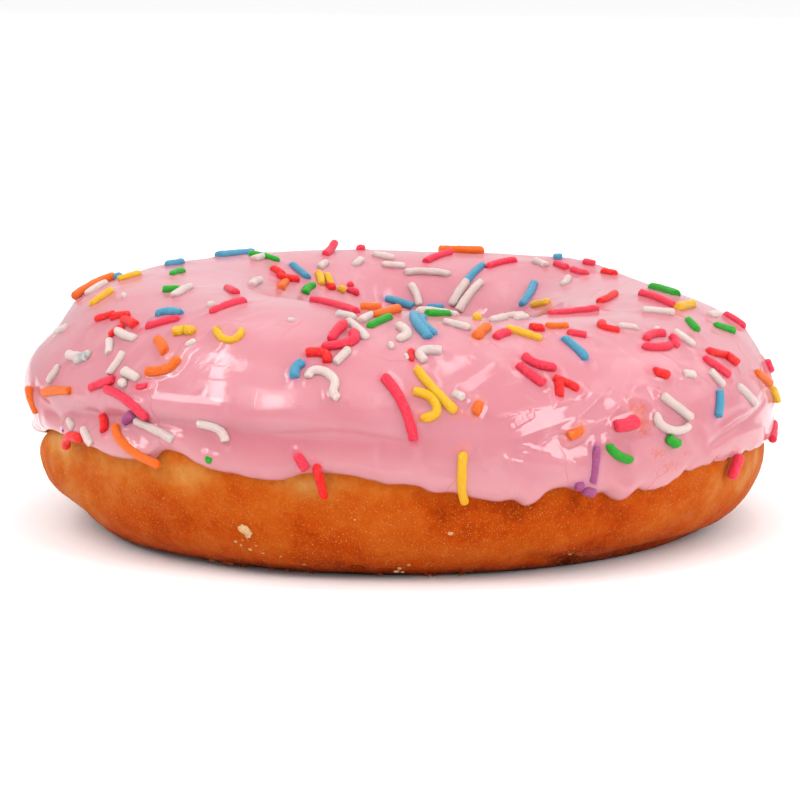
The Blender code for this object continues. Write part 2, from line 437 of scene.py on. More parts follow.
def dough_mesh():
    azimuth = (np.arange(DOUGH_STEPS) * 360.0 / DOUGH_STEPS)[:, None]
    outer, hole = icing_edges(azimuth)
    outer_foot, hole_foot = (foot_edge_angle(azimuth, side) for side in (1, -1))
    under = (outer + UNDER_THE_ICING, hole - UNDER_THE_ICING)
    corners = [outer_foot - 360, *under, hole_foot, outer_foot]
    angle = steps_between(corners, DOUGH_ROWS.values(), axis=1)
    points = dough_surface(azimuth, angle)
    height = points[..., 2]
    # Browning, and painted shade in the darker patches under the icing's front edge.
    browning_and_shade = np.interp(height, *zip(*BROWNING)) + patches(CRUST_AND_SHADE_PATCHES, azimuth, height)
    browning_and_shade += lumps(points, *BROWNING_LUMPS)
    in_hole = (np.cos(np.radians(angle)) < 0) & (height > PALER_FROM)
    browning_and_shade -= np.where(in_hole, PALER_IN_HOLE * smooth_step((height - PALER_FROM) / PALER_OVER), 0)
    return grid_mesh("dough_crust", points, {"browning_and_shade": np.clip(browning_and_shade, 0, 1)})


# ---------------------------------------------------------------- the icing

# The icing is finest where it is wrinkled: the azimuths between which its steps go round and how many there
# are, then the section angles between its two lips and how many rows there are from each to the next.
ICING_AZIMUTHS, ICING_STEPS = (-90, 10, 35, 90, 270), (230, 165, 110, 175)
ICING_ANGLES, ICING_ROWS = (9, 30, 62), (34, 38, 18, 30)
LIP_ROWS = 6
UNDERSIDE_ROWS = 8

# How far from its edges the icing is rounded, and how deep its edges and its underside lie in the dough.
ICING_LIP = 1.5
ICING_SUNK = 0.12
UNDERSIDE_DEPTH = 0.6
ICING_LUMPS = (11, (9, 0.13), (4.2, 0.02))

# The lumps of its edges, looked up on a ring this far from the core.
RAGGED_EDGE = (21, (1.6, 0.12))
HOLE_EDGE = (23, (7, 0.9), (2, 0.2))
EDGE_RING = 18.0

# Where the icing is thin and crumbles, as (azimuth, half width in degrees): its edge's lumps, those of the
# surface beside it, (how far from the edge, half width), how much thinner it is, and how far in.
CRUMBLY = (51, 15)
CRUMBLY_EDGE = (22, (1.1, 0.45))
CRUMBLY_SKIN = (15, (0.9, 0.1))
CRUMBLY_BAND = (1.0, 2.0)
THIN_SHARE, THIN_WIDTH = 0.45, 5

# Where the icing gathers as a bead along its edge: (azimuth, half width in degrees, height), then how far
# from the edge the bead lies and its half width.
ICING_BEADS = [
    (-45, 5, 0.2), (-34.5, 3, 0.12), (-19, 4, 0.22), (-3, 5, 0.1), (6, 3, 0.15), (14, 3, 0.15),
    (18, 1.8, 0.3), (30, 3, 0.2), (33.4, 2.2, 0.35), (88, 5, 0.25), (118, 5, 0.3), (150, 5, 0.3),
    (184, 5, 0.3), (214, 5, 0.35), (250, 6, 0.25),
]
BEAD_BAND = (1.7, 1.0)

# Folds of the icing: half width, height (below zero for a groove), then (azimuth, section angle) points.
ICING_FOLDS = [
    (0.55, 0.14, (2.2, 10), (1.6, 5.2), (2.9, 1.2)), (1, 0.22, (6.8, 28.8), (10.5, 35.2), (15, 42.5)),
    (0.8, 0.18, (8, 26), (11.5, 31), (15.5, 38.5)), (2.1, 0.36, (20.4, 1.6), (24, 0), (28, -0.6)),
    (0.45, 0.16, (36.5, 27.6), (39, 28.4), (41, 25.2)), (0.45, 0.16, (35.2, 24), (37.5, 23), (38.5, 20.5)),
    (0.8, 0.22, (47.8, 12), (49.2, 7), (50.6, 1.5)), (0.7, 0.16, (44.8, 6), (46.4, 1)),
    (0.6, -0.26, (50.8, 2.4), (55, 5.2), (59.5, 7.4), (63, 8.6), (70, 12)),
    (0.5, 0.2, (54, 7.4), (58, 9.6), (62, 9.8)), (0.9, 0.22, (51, -0.6), (56, 1.6), (62, 2.4), (68, 1.5)),
    (0.8, -0.25, (-71, 15.5), (-65, 10.5), (-60, 6)), (0.9, 0.25, (-72, 11), (-67, 7), (-62, 3)),
    (0.5, 0.05, (-43.2, 36.5), (-43.8, 32), (-44.4, 27.6)),
    (1.2, -0.14, (-11.5, 23.5), (-10.2, 21.5), (-9.5, 18.8), (-8.8, 15.8)),
    (0.9, 0.1, (-37.5, 13), (-34.5, 12), (-32.6, 10)), (0.9, 0.22, (118, 16), (126, 20), (133, 17)),
    (0.8, -0.35, (171, 8), (180, 11), (189, 9)), (0.7, 0.22, (203, 24), (210, 18), (214, 11)),
    (0.8, 0.2, (240, 30), (247, 26), (256, 27)),
]

# Lines of the icing that are used twice, the second time for a fine wrinkle: (azimuth, section angle).
MAIN_RIDGE = [(14, 19.5), (16.2, 20.8), (18.2, 22), (20.8, 22.8), (23, 23.8), (25, 24.9)]
SIDE_RIDGE = [(25.5, 18), (26.8, 20), (28.2, 22.2), (30.2, 25.2)]
LOW_RIDGE = [(26, 15.5), (28.2, 15.8), (30.5, 17.2), (33, 21.2)]
LOW_GROOVE = [(19.5, 9.8), (21, 11.8), (22.2, 12.8), (24.2, 13.2)]
# The crease line also places the painted shadow line down in the crease.
CREASE_LINE = [
    (-27.2, 14.5), (-23, 13.8), (-20, 13.2), (-13.8, 14.5), (-9.8, 15.5), (-6.2, 15.2), (0, 12.8),
]

# Creases of the icing, with a sharp crest and flat sides, given in the same way.
ICING_CREASES = [
    (1.1, 0.2, *MAIN_RIDGE, (29, 28)), (0.9, 0.17, *SIDE_RIDGE), (0.8, 0.15, *LOW_RIDGE),
    (1, 0.16, (15.6, 12), (19, 14.5), (22.6, 17), (24.6, 18.2)),
    (0.7, 0.12, (14, 6.5), (15.2, 4.8), (16.8, 3.8)), (0.6, -0.1, *LOW_GROOVE),
    (1, 0.16, (112, 20), (118, 24), (125, 23)), (1, 0.16, (196, 16), (203, 13), (209, 17)),
    (0.9, 0.14, (262, 24), (266, 20), (264, 15)),
]

# Fine wrinkles of the icing, given in the same way. Their sharp crest is beaded and wavers near its line.
ICING_WRINKLES = [
    (0.13, 0.13, *MAIN_RIDGE), (0.12, 0.1, (20.6, 21.4), (22.6, 22.6), (24.4, 23.9), (27.6, 26)),
    (0.12, 0.12, (15.4, 15.4), (17, 17.4), (18.8, 19.5)),
    (0.12, 0.1, (15.2, 16.6), (16.2, 18.6), (18.8, 20.8)), (0.13, 0.12, *SIDE_RIDGE),
    (0.12, 0.1, (28.2, 24.2), (30.2, 25), (32.8, 28)), (0.13, 0.11, *LOW_RIDGE), (0.13, -0.13, *LOW_GROOVE),
    (0.14, 0.09, (16.2, 10), (17.8, 9.5), (18.4, 8.5)), (0.14, 0.08, (16.8, 7.2), (17.8, 6.8)),
    (0.14, 0.12, (14, 6.5), (14.8, 4)), (0.14, 0.1, (15.2, 4.8), (16.8, 3.8)),
    (0.16, 0.12, (9.8, 4.6), (11, 3.5), (12, 2)), (0.16, 0.1, (21, 5.8), (22.8, 4.2), (24.8, 1.2)),
    (0.14, 0.09, (19.2, 8), (20.8, 7)), (0.18, 0.12, (33.4, 9.4), (33.9, 4.6)),
    (0.18, -0.06, (-9, 58), (-16, 60), (-22, 55), (-24.5, 49)),
    (0.18, -0.05, (17, 44), (13, 46), (10, 42.5), (7.5, 43)),
    (0.14, 0.06, (-23.8, 11.5), (-22.2, 10.5), (-20.5, 10.8)), (0.2, -0.09, *CREASE_LINE[1:]),
    (0.14, 0.022, (-33, 38), (-33.4, 33), (-33, 27)),
    (0.14, 0.025, (-29.4, 38.5), (-29.2, 32), (-29.6, 24.5)),
    (0.18, 0.1, (44, -2), (47, -3.5), (50, -2.5), (54, -3)), (0.18, 0.09, (36, 3), (38.5, 0), (39, -4)),
]
WRINKLE_BEADS = (16, (0.5, 0.7))
WRINKLE_WAVER = (17, (1.3, 0.12))
WAVER_WITHIN = 2

# Painted shade: down in the crease the icing is painted darker, from what depth and how sharply, and a
# painted shadow line runs along it, with its half width and strength. At the rim a painted sheen makes it
# paler over this width.
CREASE_SHADE_DEPTH, CREASE_SHADE_SHARPNESS = 0.8, 5
CREASE_SHADOW_LINE_WIDTH, CREASE_SHADOW_LINE_STRENGTH = 0.28, 0.9
PAINTED_SHEEN_RIM_WIDTH = 2.4

# Where brown crumbs show through the icing: azimuth, section angle, the two half widths, strength.
STAINS = [
    (36, 19, 2.2, 4.5, 1), (36.5, 12.5, 2, 3.5, 0.9), (39, 2.5, 2.4, 3, 0.7), (41.5, -3.5, 2.6, 3, 0.8),
    (45, 1, 1.6, 2, 0.5), (52, 18, 2.5, 3, 0.35), (205, 4, 4, 4, 0.6),
]

# How high the icing gathers up a sprinkle's side, and how far from it.
MENISCUS_HEIGHT, MENISCUS_REACH = 0.2, 0.46

# Painted shade: round each sprinkle the icing is painted in the coloured shade that it casts: which colours
# cast it, and the colour of that shade.
SPRINKLE_SHADE_TINTS = {
    "red_sprinkle_shade": (["pink", "red"], (234, 62, 86)),
    "orange_sprinkle_shade": (["orange", "yellow"], (244, 128, 70)),
    "blue_sprinkle_shade": (["blue", "purple"], (178, 96, 156)),
}
SPRINKLE_SHADE_REACH, SPRINKLE_SHADE_SHARE = 0.34, 0.33


def icing_edges(azimuth):
    """The section angles of the icing's outer edge and of its edge in the hole."""
    around = section_point(azimuth, np.zeros_like(azimuth), EDGE_RING)
    ragged = lumps(around, *RAGGED_EDGE) + bump_round(azimuth, *CRUMBLY) * lumps(around, *CRUMBLY_EDGE)
    outer = angle_at_height(azimuth, icing_edge_height(azimuth) + ragged, OUTSIDE)
    hole_height = icing_hole_edge_height(azimuth) + lumps(around, *HOLE_EDGE)
    return outer, angle_at_height(azimuth, hole_height, IN_THE_HOLE)


def ridges(lines, azimuth, angle, profile):
    """Relief along lines, each a half width, a height and its (azimuth, section angle) points."""
    total = 0
    for half, height, *line in lines:
        total += height * profile(distance_to_line(azimuth, angle, line), half)
    return total


def icing_wrinkles(azimuth, angle, points):
    """The relief of the icing's folds, creases and wrinkles at these places, whose points are given too."""
    beads = 1 + lumps(points, *WRINKLE_BEADS)
    waver = lumps(points, *WRINKLE_WAVER)

    def fold(away, half):
        return bump_at(away, 0, half)

    def crease(away, half):
        return np.exp(-away / half)

    def wrinkle(away, half):
        return beads * np.exp(-np.abs(away + waver * (away < WAVER_WITHIN)) / half)

    kinds = ((ICING_FOLDS, fold), (ICING_CREASES, crease), (ICING_WRINKLES, wrinkle))
    return sum(ridges(lines, azimuth, angle, profile) for lines, profile in kinds)


def icing_datum(azimuth, angle):
    """The reach of the full-thickness icing with its larger lumps, which sprinkles lie on."""
    smooth = section_point(azimuth, angle, dough_reach(azimuth, angle, 0) + ICING_THICKNESS)
    uneven = dough_unevenness(azimuth, angle) + lumps(smooth, *ICING_LUMPS[:2])
    return iced_reach(azimuth, angle) + ICING_THICKNESS + uneven


def icing_grid():
    """The icing's azimuths, section angles from lip to lip, two edges, and a millimetre in degrees."""
    azimuth = steps_between(ICING_AZIMUTHS, ICING_STEPS)[:, None]
    outer, hole = icing_edges(azimuth)
    per_mm = np.degrees(1 / dough_reach(azimuth, outer))
    lip = ICING_LIP * (1 - np.cos(np.pi / 2 * np.arange(LIP_ROWS) / LIP_ROWS))
    last = hole - ICING_LIP * per_mm
    inner = [np.full_like(azimuth, angle) for angle in ICING_ANGLES]
    body = steps_between([outer + ICING_LIP * per_mm, *inner, last], ICING_ROWS, axis=1)
    angle = np.concatenate([outer + lip * per_mm, body, last, hole - lip[::-1] * per_mm], axis=1)
    return azimuth, angle, outer, hole, per_mm


def icing_thickness(azimuth, from_outer, profile):
    """How thick the icing is: round at its lips, thin where it crumbles, and gathered in beads."""
    thinning = THIN_SHARE * bump_round(azimuth, *CRUMBLY) * bump_at(from_outer, 0, THIN_WIDTH)
    thickness = ICING_THICKNESS * profile * (1 - thinning) - ICING_SUNK * (1 - profile)
    for middle, wide, height in ICING_BEADS:
        thickness += height * bump_round(azimuth, middle, wide) * bump_at(from_outer, *BEAD_BAND) * profile
    return thickness


def icing_marks(azimuth, angle, thickness, from_outer):
    """The material's marks from the shape: stains, thin places, painted crease shade, painted rim sheen."""
    depth, share = icing_crease(azimuth, angle)
    # Painted shade down in the crease, and a painted shadow line along it.
    deep = np.minimum(1, depth / CREASE_SHADE_DEPTH) * share**CREASE_SHADE_SHARPNESS
    line = bump_at(distance_to_line(azimuth, angle, CREASE_LINE), 0, CREASE_SHADOW_LINE_WIDTH)
    return {
        "stain": np.clip(patches(STAINS, azimuth, angle), 0, 1),
        "thin": 1 - np.clip(thickness / ICING_THICKNESS, 0, 1),
        "deep": np.maximum(deep, CREASE_SHADOW_LINE_STRENGTH * line),
        # A painted sheen: paler along the icing's rim.
        "rim": bump_at(from_outer, 0, PAINTED_SHEEN_RIM_WIDTH),
    }


def near_sprinkles(points, sprinkles):
    """How far the icing gathers up a sprinkle's side, and how strong each painted sprinkle shade is there.
    """
    tree, colours = sprinkles
    found = [tree.find(point) for point in points.reshape(-1, 3).tolist()]
    away = np.array([distance for _, _, distance in found]).reshape(points.shape[:-1]) - SPRINKLE_RADIUS
    away = np.maximum(away, 0)
    colour = np.array([colours[i] for _, i, _ in found]).reshape(away.shape)
    # Painted shade: each sprinkle's coloured shade fades with the distance from it.
    shade_falloff = bump_at(away, 0, SPRINKLE_SHADE_REACH)
    sprinkle_shades = {name: shade_falloff * np.isin(colour, kinds) for name, (kinds, _) in SPRINKLE_SHADE_TINTS.items()}
    return bump_at(away, 0, MENISCUS_REACH), sprinkle_shades


def icing_underside(azimuth, outer, hole):
    """The rows that close the icing underneath, inside the dough, from the hole to the outside."""
    angle = hole + (outer - hole) * np.linspace(0, 1, UNDERSIDE_ROWS + 2)[1:-1]
    reach = dough_reach(azimuth, angle) - UNDERSIDE_DEPTH + dough_unevenness(azimuth, angle)
    return section_point(azimuth, angle, reach)


def icing_mesh(sprinkles):
    """The icing, gathered up a little round each sprinkle, and closed underneath inside the dough."""
    azimuth, angle, outer, hole, per_mm = icing_grid()
    from_outer = (angle - outer) / per_mm
    from_edge = np.minimum(from_outer, (hole - angle) / per_mm)
    profile = np.sqrt(1 - np.maximum(0, 1 - from_edge / ICING_LIP) ** 2)
    thickness = icing_thickness(azimuth, from_outer, profile)
    smooth = section_point(azimuth, angle, dough_reach(azimuth, angle, 0) + ICING_THICKNESS)
    relief = lumps(smooth, *ICING_LUMPS) + icing_wrinkles(azimuth, angle, smooth)
    crumbs = lumps(smooth, *CRUMBLY_SKIN) * bump_at(from_outer, *CRUMBLY_BAND)
    relief += bump_round(azimuth, *CRUMBLY) * crumbs
    reach = iced_reach(azimuth, angle) * profile + dough_reach(azimuth, angle) * (1 - profile)
    reach += dough_unevenness(azimuth, angle) + thickness + relief * profile
    points = section_point(azimuth, angle, reach)
    out = section_point(azimuth, angle, reach + 1) - points
    gathered, sprinkle_shades = near_sprinkles(points, sprinkles)
    points += out * (MENISCUS_HEIGHT * gathered * profile)[..., None]
    marks = {**icing_marks(azimuth, angle, thickness, from_outer), **sprinkle_shades}
    marks = {name: np.pad(values, ((0, 0), (0, UNDERSIDE_ROWS))) for name, values in marks.items()}
    points = np.concatenate([points, icing_underside(azimuth, outer, hole)], axis=1)
    return grid_mesh("icing_glaze", points, marks)


# ---------------------------------------------------------------- sprinkles

SPRINKLE_RADIUS = 0.535
SPRINKLE_SIDES = 14
SPRINKLE_RING = 0.3
SPRINKLE_SUNK = 0.46

# How the path is fitted: points along it and the most turns that it can take.
PATH_SAMPLES = 13
PATH_DEGREE = 4
LENGTH_SAMPLES = 9

# The two kinds of end, as (distance from the end, share of the radius), and the share of ends that are
# round. An end takes up at most this share of the length, it is cut at a slant, and its face is domed.
BROKEN_END = [(0, 0.7), (0.04, 0.86), (0.12, 0.96), (0.25, 1)]
ROUND_END = [(0, 0.3), (0.05, 0.56), (0.16, 0.8), (0.32, 0.95), (0.5, 1)]
ROUND_SHARE = 0.45
LONGEST_END = 0.45
END_SLANT = 0.35
END_DOME = 0.05

# How uneven a sprinkle is: lumps, fine lumps, thicker towards one end, and bent to one side in millimetres.
SPRINKLE_LUMPS = [(1, 0.10), (3, 0.07)]
LUMPS_ALONG = 1.1
THICKENING = 0.08
SPRINKLE_BEND = 0.16
NOISE_SPAN = 99

# Each sprinkle is its share of the usual radius, then the points that it lies along: azimuth, section angle
# and, where it is pressed in or stands off, how far in millimetres.
SPRINKLES = {
    "white": [
        (1, (-62.2, 25.5), (-63.4, 18.8)), (1.15, (-62, 30), (-56, 31.5)), (1.1, (-58.5, 28.5), (-56, 33)),
        (0.95, (-54, 40), (-51.4, 34.5)), (1, (-47.8, 36), (-48, 27)), (1.1, (-45, 29), (-41.2, 27)),
        (1.1, (-44.8, 24.8), (-43.2, 24.2)), (1.05, (-54, 44.3), (-47.5, 42.3)),
        (0.9, (-35, 46, -0.2), (-36, 42.5, -0.2)), (1, (-42, 71, -0.1), (-41, 71, -0.1)),
        (0.95, (-57.5, 8.5, -0.15), (-54.5, 6, -0.15)), (1, (-51.9, 7.2), (-48.9, 2.8)),
        (0.95, (-41.4, 13.2), (-37.3, 10.5), (-33.8, 8.5)), (1, (-29.8, 15), (-28, 14.6), (-25.1, 9.7)),
        (0.75, (-21.2, 64, -0.12), (-20, 65.6, -0.12)), (1, (-56, 73), (-63, 87)),
        (1, (-13.4, 33), (-11.9, 35.8), (-10.3, 34), (-9.5, 30), (-8.6, 25.8)),
        (1, (-9.8, 39.5), (-8.2, 46.5)), (1, (-13, 76), (-8.8, 73)), (1, (-10, 68.5), (-5.6, 53.8)),
        (1, (-7.6, 69), (-6.2, 80)), (1.1, (-0.3, 67), (1.3, 60), (1, 57), (-0.6, 54)),
        (1, (-1.9, 49.8), (-1.1, 49.8)), (1.1, (6.7, 48), (4.3, 47.6), (3.9, 42)),
        (0.6, (0.8, 46, -0.1), (1.2, 43, -0.1)), (1, (4.5, 93), (8, 98), (13.5, 90)),
        (1, (8.8, 74.5), (13.2, 65.5)), (1.05, (7.5, 28.5), (9, 26)), (1, (20, 80), (25.5, 90)),
        (1, (27, 86), (31, 89)), (1, (28, 98), (34, 100)), (1.05, (41, 22.8), (43.3, 17.5), (45.7, 13.3)),
        (1, (39.3, 16), (40, 11.5), (42.5, 9.6), (45, 10.8)), (1, (47.8, 30, -0.1), (50, 28.3, -0.1)),
        (1, (56, 51), (56, 41)), (0.95, (46, 64, -0.1), (49.2, 58.5, -0.1)),
        (0.9, (52.5, 54.5, -0.1), (53.5, 57, -0.1)), (1, (54.2, 29), (55.4, 21.8)),
        (1, (59.5, 20.8, -0.1), (63.8, 12.2, -0.1)), (1, (62.5, 75), (66, 63)),
        (1, (76, 53, -0.1), (80, 50.5, -0.1)), (1, (112, 114), (118, 106)), (1, (-84, 52), (-88, 60)),
        (1, (-68.4, 61.5, -0.1), (-67.4, 62.5, -0.1)), (1, (-72, 39, -0.08), (-75, 36, -0.08)),
        (1, (175, 132), (169, 143)), (1.1, (150, 127), (151, 142)), (1.1, (144, 126), (146, 144)),
        (1, (178, 123.5), (168, 122), (159, 124)), (1, (-162, 118), (-166, 112)),
        (1, (-146, 119), (-152, 114)), (1, (-82, 119), (-100, 121)), (1, (-171, 105), (-178, 110)),
        (1, (187, 117), (178, 118)), (1, (-128, 101), (-138, 96)), (1, (139, 96), (133, 99)),
    ],
    "pink": [
        (1.05, (-51.2, 21.2), (-46.3, 25.5)), (1.05, (-47.5, 22), (-43.4, 20.2), (-38.7, 14.6)),
        (0.7, (-41.2, 24.3, -0.1), (-39.2, 25.2, -0.1)), (1, (-48, 48.5), (-42.8, 56.4)),
        (1, (-38, 63), (-36.2, 79.5)), (1, (-57, 99), (-46, 92)), (1.1, (-14.3, 7), (-12.9, 1.8)),
        (1.05, (-25, 100), (-17, 94), (-9.7, 82)), (1.15, (-12.5, 47.5), (-9.9, 49), (-8.4, 58)),
        (1.1, (-11.5, 51, 0.2), (-10.3, 63, 0.2)), (1.1, (-2.4, 34.5), (0, 27), (1.3, 19.5), (1.9, 12.5)),
        (1.1, (16.8, 57), (20.2, 62)), (1, (32, 60.5), (35.2, 57)),
        (1.1, (20.2, 45), (21.8, 40.2), (24.6, 38)), (1.1, (18.4, 40), (19.6, 36.5), (21.5, 31)),
        (1.5, (31.2, 14), (35, 15)), (1.05, (44, 46), (47.8, 43.3), (50.4, 43.8)),
        (1.05, (46.6, 49.3), (49.5, 52), (52.7, 51.5)), (1.05, (53.3, 49), (52.5, 45), (51, 43)),
        (1.05, (55, 34.7), (58.6, 25)), (1.1, (80, 86), (71.5, 66.5)), (1, (82, 48), (84, 38)),
        (1, (80, 24), (79, 19)), (1.05, (79, -1, -0.2), (72.5, -4.5, -0.2)),
        (1.25, (58.8, -4.5, -0.8), (57.2, -13.5, -1.1)), (1, (44, 103), (58, 94)),
        (1, (133, 93), (127, 95)), (1, (125, 95), (118, 95)), (1, (129, 82), (126, 80)),
        (1, (148, 114), (143, 100)), (1.05, (171, 113), (165, 97)),
        (1.05, (-155, 104), (-159, 97, 0.2), (-161.5, 91, 0.9)), (1, (-168, 93), (-170, 90)),
        (1, (-151, 135), (-157, 137.5)), (1, (-153, 132), (-156, 133)),
    ],
    "red": [
        (1, (-63.6, 46), (-60.7, 51.7)), (1, (-59.8, 49.5), (-56.4, 53.6)), (1.15, (-56, 50), (-51, 48.5)),
        (1.05, (-55, 41), (-53.5, 47)), (1.1, (-48.8, 12.8), (-46.9, 7.7)),
        (1.05, (-58, -2.5, -1), (-56.7, 2, -0.6), (-54, 4), (-51.3, 3.5)),
        (1.1, (-14.8, 43.5), (-12.8, 44.3), (-11.2, 39.8)),
        (1, (-11.6, 3.8), (-11.1, -2.5, -0.5), (-10.7, -9, -1.2)), (0.7, (1.8, 48), (1.9, 42)),
        (1.1, (25.8, 67), (28.5, 66)), (1, (23.5, 33.8), (26.8, 28.2)), (1.05, (24, 32), (23.3, 26)),
        (1, (44, 69), (41.8, 63.5), (44, 59.5)), (1.1, (42, 32.8), (44.4, 30)), (1, (57.8, 37.5), (63, 33)),
        (1.2, (62, 33), (63.6, 28.5)), (1, (68, 101), (80, 98)), (1.1, (-125, 114), (-122, 122)),
        (1.1, (-118, 122), (-128, 126)), (1, (-140, 132.5), (-145, 133)), (1, (119, 86), (114, 84)),
    ],
    "orange": [
        (1.05, (-71.2, 14.8), (-69.4, 6.5)), (1.05, (-64.4, 15.2), (-56.2, 18.5)),
        (1.1, (-42.5, 43.5), (-39, 38.3)), (1.1, (-40.3, 30), (-37.8, 31), (-36, 37)),
        (1, (-45.3, 10.5), (-43, 6), (-39.5, 1.8, -0.2), (-36, -1.2, -0.6)), (1.1, (-9.8, 93), (-5.2, 98)),
        (1.1, (-5.6, 78), (-0.5, 93, 0.2)), (1.2, (13.3, 57), (17.3, 69)),
        (1, (30, 69.5, -0.1), (35, 69, -0.1)), (1.1, (11.2, 25), (10.3, 21)),
        (1.05, (23.7, 12), (25.9, 14)), (1.1, (69.2, 23), (73.6, 16.5)),
        (1.1, (-88, 47, 0.3), (-98, 60, 0.3)), (1, (-104, 129), (-118, 126)),
        (1.2, (169, 92, 0.1), (157, 88, 0.1)),
    ],
    "yellow": [
        (1.2, (-40.5, 48), (-38.5, 49.5)), (1.15, (-38.7, 50), (-36.5, 50)),
        (0.9, (-32.4, 52.2), (-30.6, 48.6), (-28.6, 47.4), (-27.6, 49.6), (-28.3, 53)),
        (1.05, (-73, 51), (-76, 61)), (1, (-86, 65), (-88, 74)), (1, (-8, 100), (-6, 103)),
        (1, (-143, 123), (-138, 131)), (1, (-146, 125.5), (-143.5, 132)), (1, (-146, 134), (-149, 136)),
        (1, (17.3, 84), (19.5, 95)), (1.05, (20.3, 66), (23, 60.5), (25.4, 55.5)),
        (1.05, (2.5, 38.5), (4.7, 30.4), (7.8, 21.8)),
        (1.05, (1.9, 29.3), (3.9, 28), (5.2, 24), (4.4, 20.3), (2.8, 20)),
        (1, (8.5, 8.5), (8.3, 0), (8.5, -6, -0.3), (9, -9.8, -0.7)), (1.15, (74.2, 14.2), (76, 9)),
        (1.15, (71, 65.5), (78.5, 61.5)), (1, (107, 133), (96, 128)),
    ],
    "green": [
        (0.8, (-28.1, 3.2, -0.2), (-27.1, 2.8, -0.2)), (0.9, (-83, 86), (-90, 91)),
        (1.1, (-63, 75), (-60, 80)), (1, (-134, 90), (-135, 107)), (1, (-120, 134.5), (-133, 130.5)),
        (1, (-5.9, 63.5), (-2.1, 79)), (1.05, (6, 87), (12, 92)),
        (1, (29.9, 8.3), (31.3, 4.3), (33.9, 1.6)), (1.15, (40.4, 8), (42.6, 4.8)),
        (1, (71.2, 48), (75.3, 40.5)), (1, (65.8, 56.5), (62.8, 48.5)), (1.1, (92, 81.5), (84, 70)),
    ],
    "blue": [
        (1.05, (-49.5, 56), (-47.6, 59.8), (-44.2, 59.6)), (1, (-98, 58), (-97, 63)),
        (1, (-104, 79), (-110, 83)), (1.1, (-127, 82), (-139, 84)), (1, (-137.5, 112), (-134.5, 126)),
        (1.1, (-14.7, 39.5), (-15.6, 36.5), (-15.4, 32.7)), (1, (188.5, 139.5), (172.5, 143.5)),
        (1.15, (3, 84), (3.5, 70), (5, 56)), (1, (4.8, 80), (5, 66), (6.4, 59.5)),
        (1, (164, 143.5), (155, 143)), (1, (150, 112), (150, 128.5)), (1.05, (125, 118), (113, 135)),
        (1.05, (29.9, 56), (30.8, 41.3)), (1, (53.8, 21), (52.8, 16), (51.8, 12)),
        (1, (137, 86), (135, 84)),
    ],
    "purple": [
        (1.15, (-43.8, 12), (-41.3, 15.5)), (0.45, (-57.6, 4.6, -0.1), (-57.4, 4.4, -0.1)),
        (1, (27.9, 8), (27.6, 1), (27.1, -4.7)), (1.2, (24.6, -5.6, -0.3), (25.8, -5, -0.3)),
        (1.3, (26, -7, -0.6), (28.2, -9.2, -0.8)),
    ],
}

# Out of sight of the front, more are scattered as thickly: at most how many of each colour, and how far a
# place faces away from the front at the back and at the sides. In the hole they are shorter. They stay this
# many degrees from the icing's edges, and their middle lines this far apart.
SCATTERED = {
    "white": 36, "pink": 23, "red": 15, "orange": 13, "yellow": 13, "green": 10, "blue": 11, "purple": 5,
}
SCATTERED_ANGLES = (-2, 172)
SCATTER_RADIUS = 18
FRONT_ELEVATION = 9.2
FACING_AWAY = (-0.31, -0.21)
HOLE_FROM_AZIMUTH, HOLE_FROM_ANGLE = 110, 148
SCATTERED_LENGTH = (1.8, 7.0)
LENGTH_IN_HOLE = (1.5, 4.5)
SHORT_FROM_ANGLE = 100
SCATTERED_BEND = 0.8
SCATTERED_SHARE = (0.94, 1.12)
FROM_THE_EDGE = 4
APART = 1.6
APART_SAMPLES = 7
TRIES = 4000


def through(points, shares):
    """Values at these shares along an even curve through the points, whatever each point holds."""
    points = np.array(points, float)
    steps = np.hypot(np.diff(points[:, 0]), np.diff(points[:, 1]))
    at = np.concatenate([[0], np.cumsum(steps)]) / steps.sum()
    degree = len(points) - 1
    return np.stack([np.polyval(np.polyfit(at, column, degree), shares) for column in points.T], axis=-1)


def surface_frame(azimuth, angle, step=0.5):
    """Points on the icing, in millimetres, and the directions straight out of it."""
    there = section_point(azimuth, angle, icing_datum(azimuth, angle))
    corners = ((azimuth, angle), (azimuth + step, angle), (azimuth, angle + step))
    here, beside, above = (section_point(*place, dough_reach(*place, 0)) for place in corners)
    return there, unit(np.cross(beside - here, above - here))


def sprinkle_path(radius, points):
    """Fits the middle line of a sprinkle and the directions straight out of the icing along it."""
    shares = np.linspace(0, 1, PATH_SAMPLES)
    full = [(azimuth, angle, *(lift or (0,))) for azimuth, angle, *lift in points]
    azimuth, angle, lift = through(full, shares).T
    there, out = surface_frame(azimuth, angle)
    middle = there + out * (radius * (1 - SPRINKLE_SUNK) + lift)[:, None]
    degree = min(len(points), PATH_DEGREE)
    return [np.stack([np.polyfit(shares, column, degree) for column in part.T]) for part in (middle, out)]


def along_path(fitted, share):
    return np.array([np.polyval(column, share) for column in fitted])


def path_heading(fitted, share, step=0.01):
    return unit(along_path(fitted, share + step) - along_path(fitted, share - step))


def path_frame(middle, out, share):
    """The directions ahead, to the side and up at a share along a path."""
    ahead = path_heading(middle, share)
    side = unit(np.cross(ahead, along_path(out, share)))
    return ahead, side, np.cross(side, ahead)


def anywhere(draw):
    """A place of its own in the noise."""
    return Vector([draw.uniform(0, NOISE_SPAN) for _ in range(3)])


def ring_places(draw, length):
    """Where the rings of a sprinkle are along it, each with its share of the radius."""
    kinds = [ROUND_END if draw.random() < ROUND_SHARE else BROKEN_END for _ in range(2)]
    first, last = [[place for place in kind if place[0] < length * LONGEST_END] for kind in kinds]
    start, end = first[-1][0], length - last[-1][0]
    count = max(1, round((end - start) / SPRINKLE_RING))
    middle = [(start + (end - start) * i / count, 1.0) for i in range(1, count)]
    return first + middle + [(length - along, share) for along, share in reversed(last)]


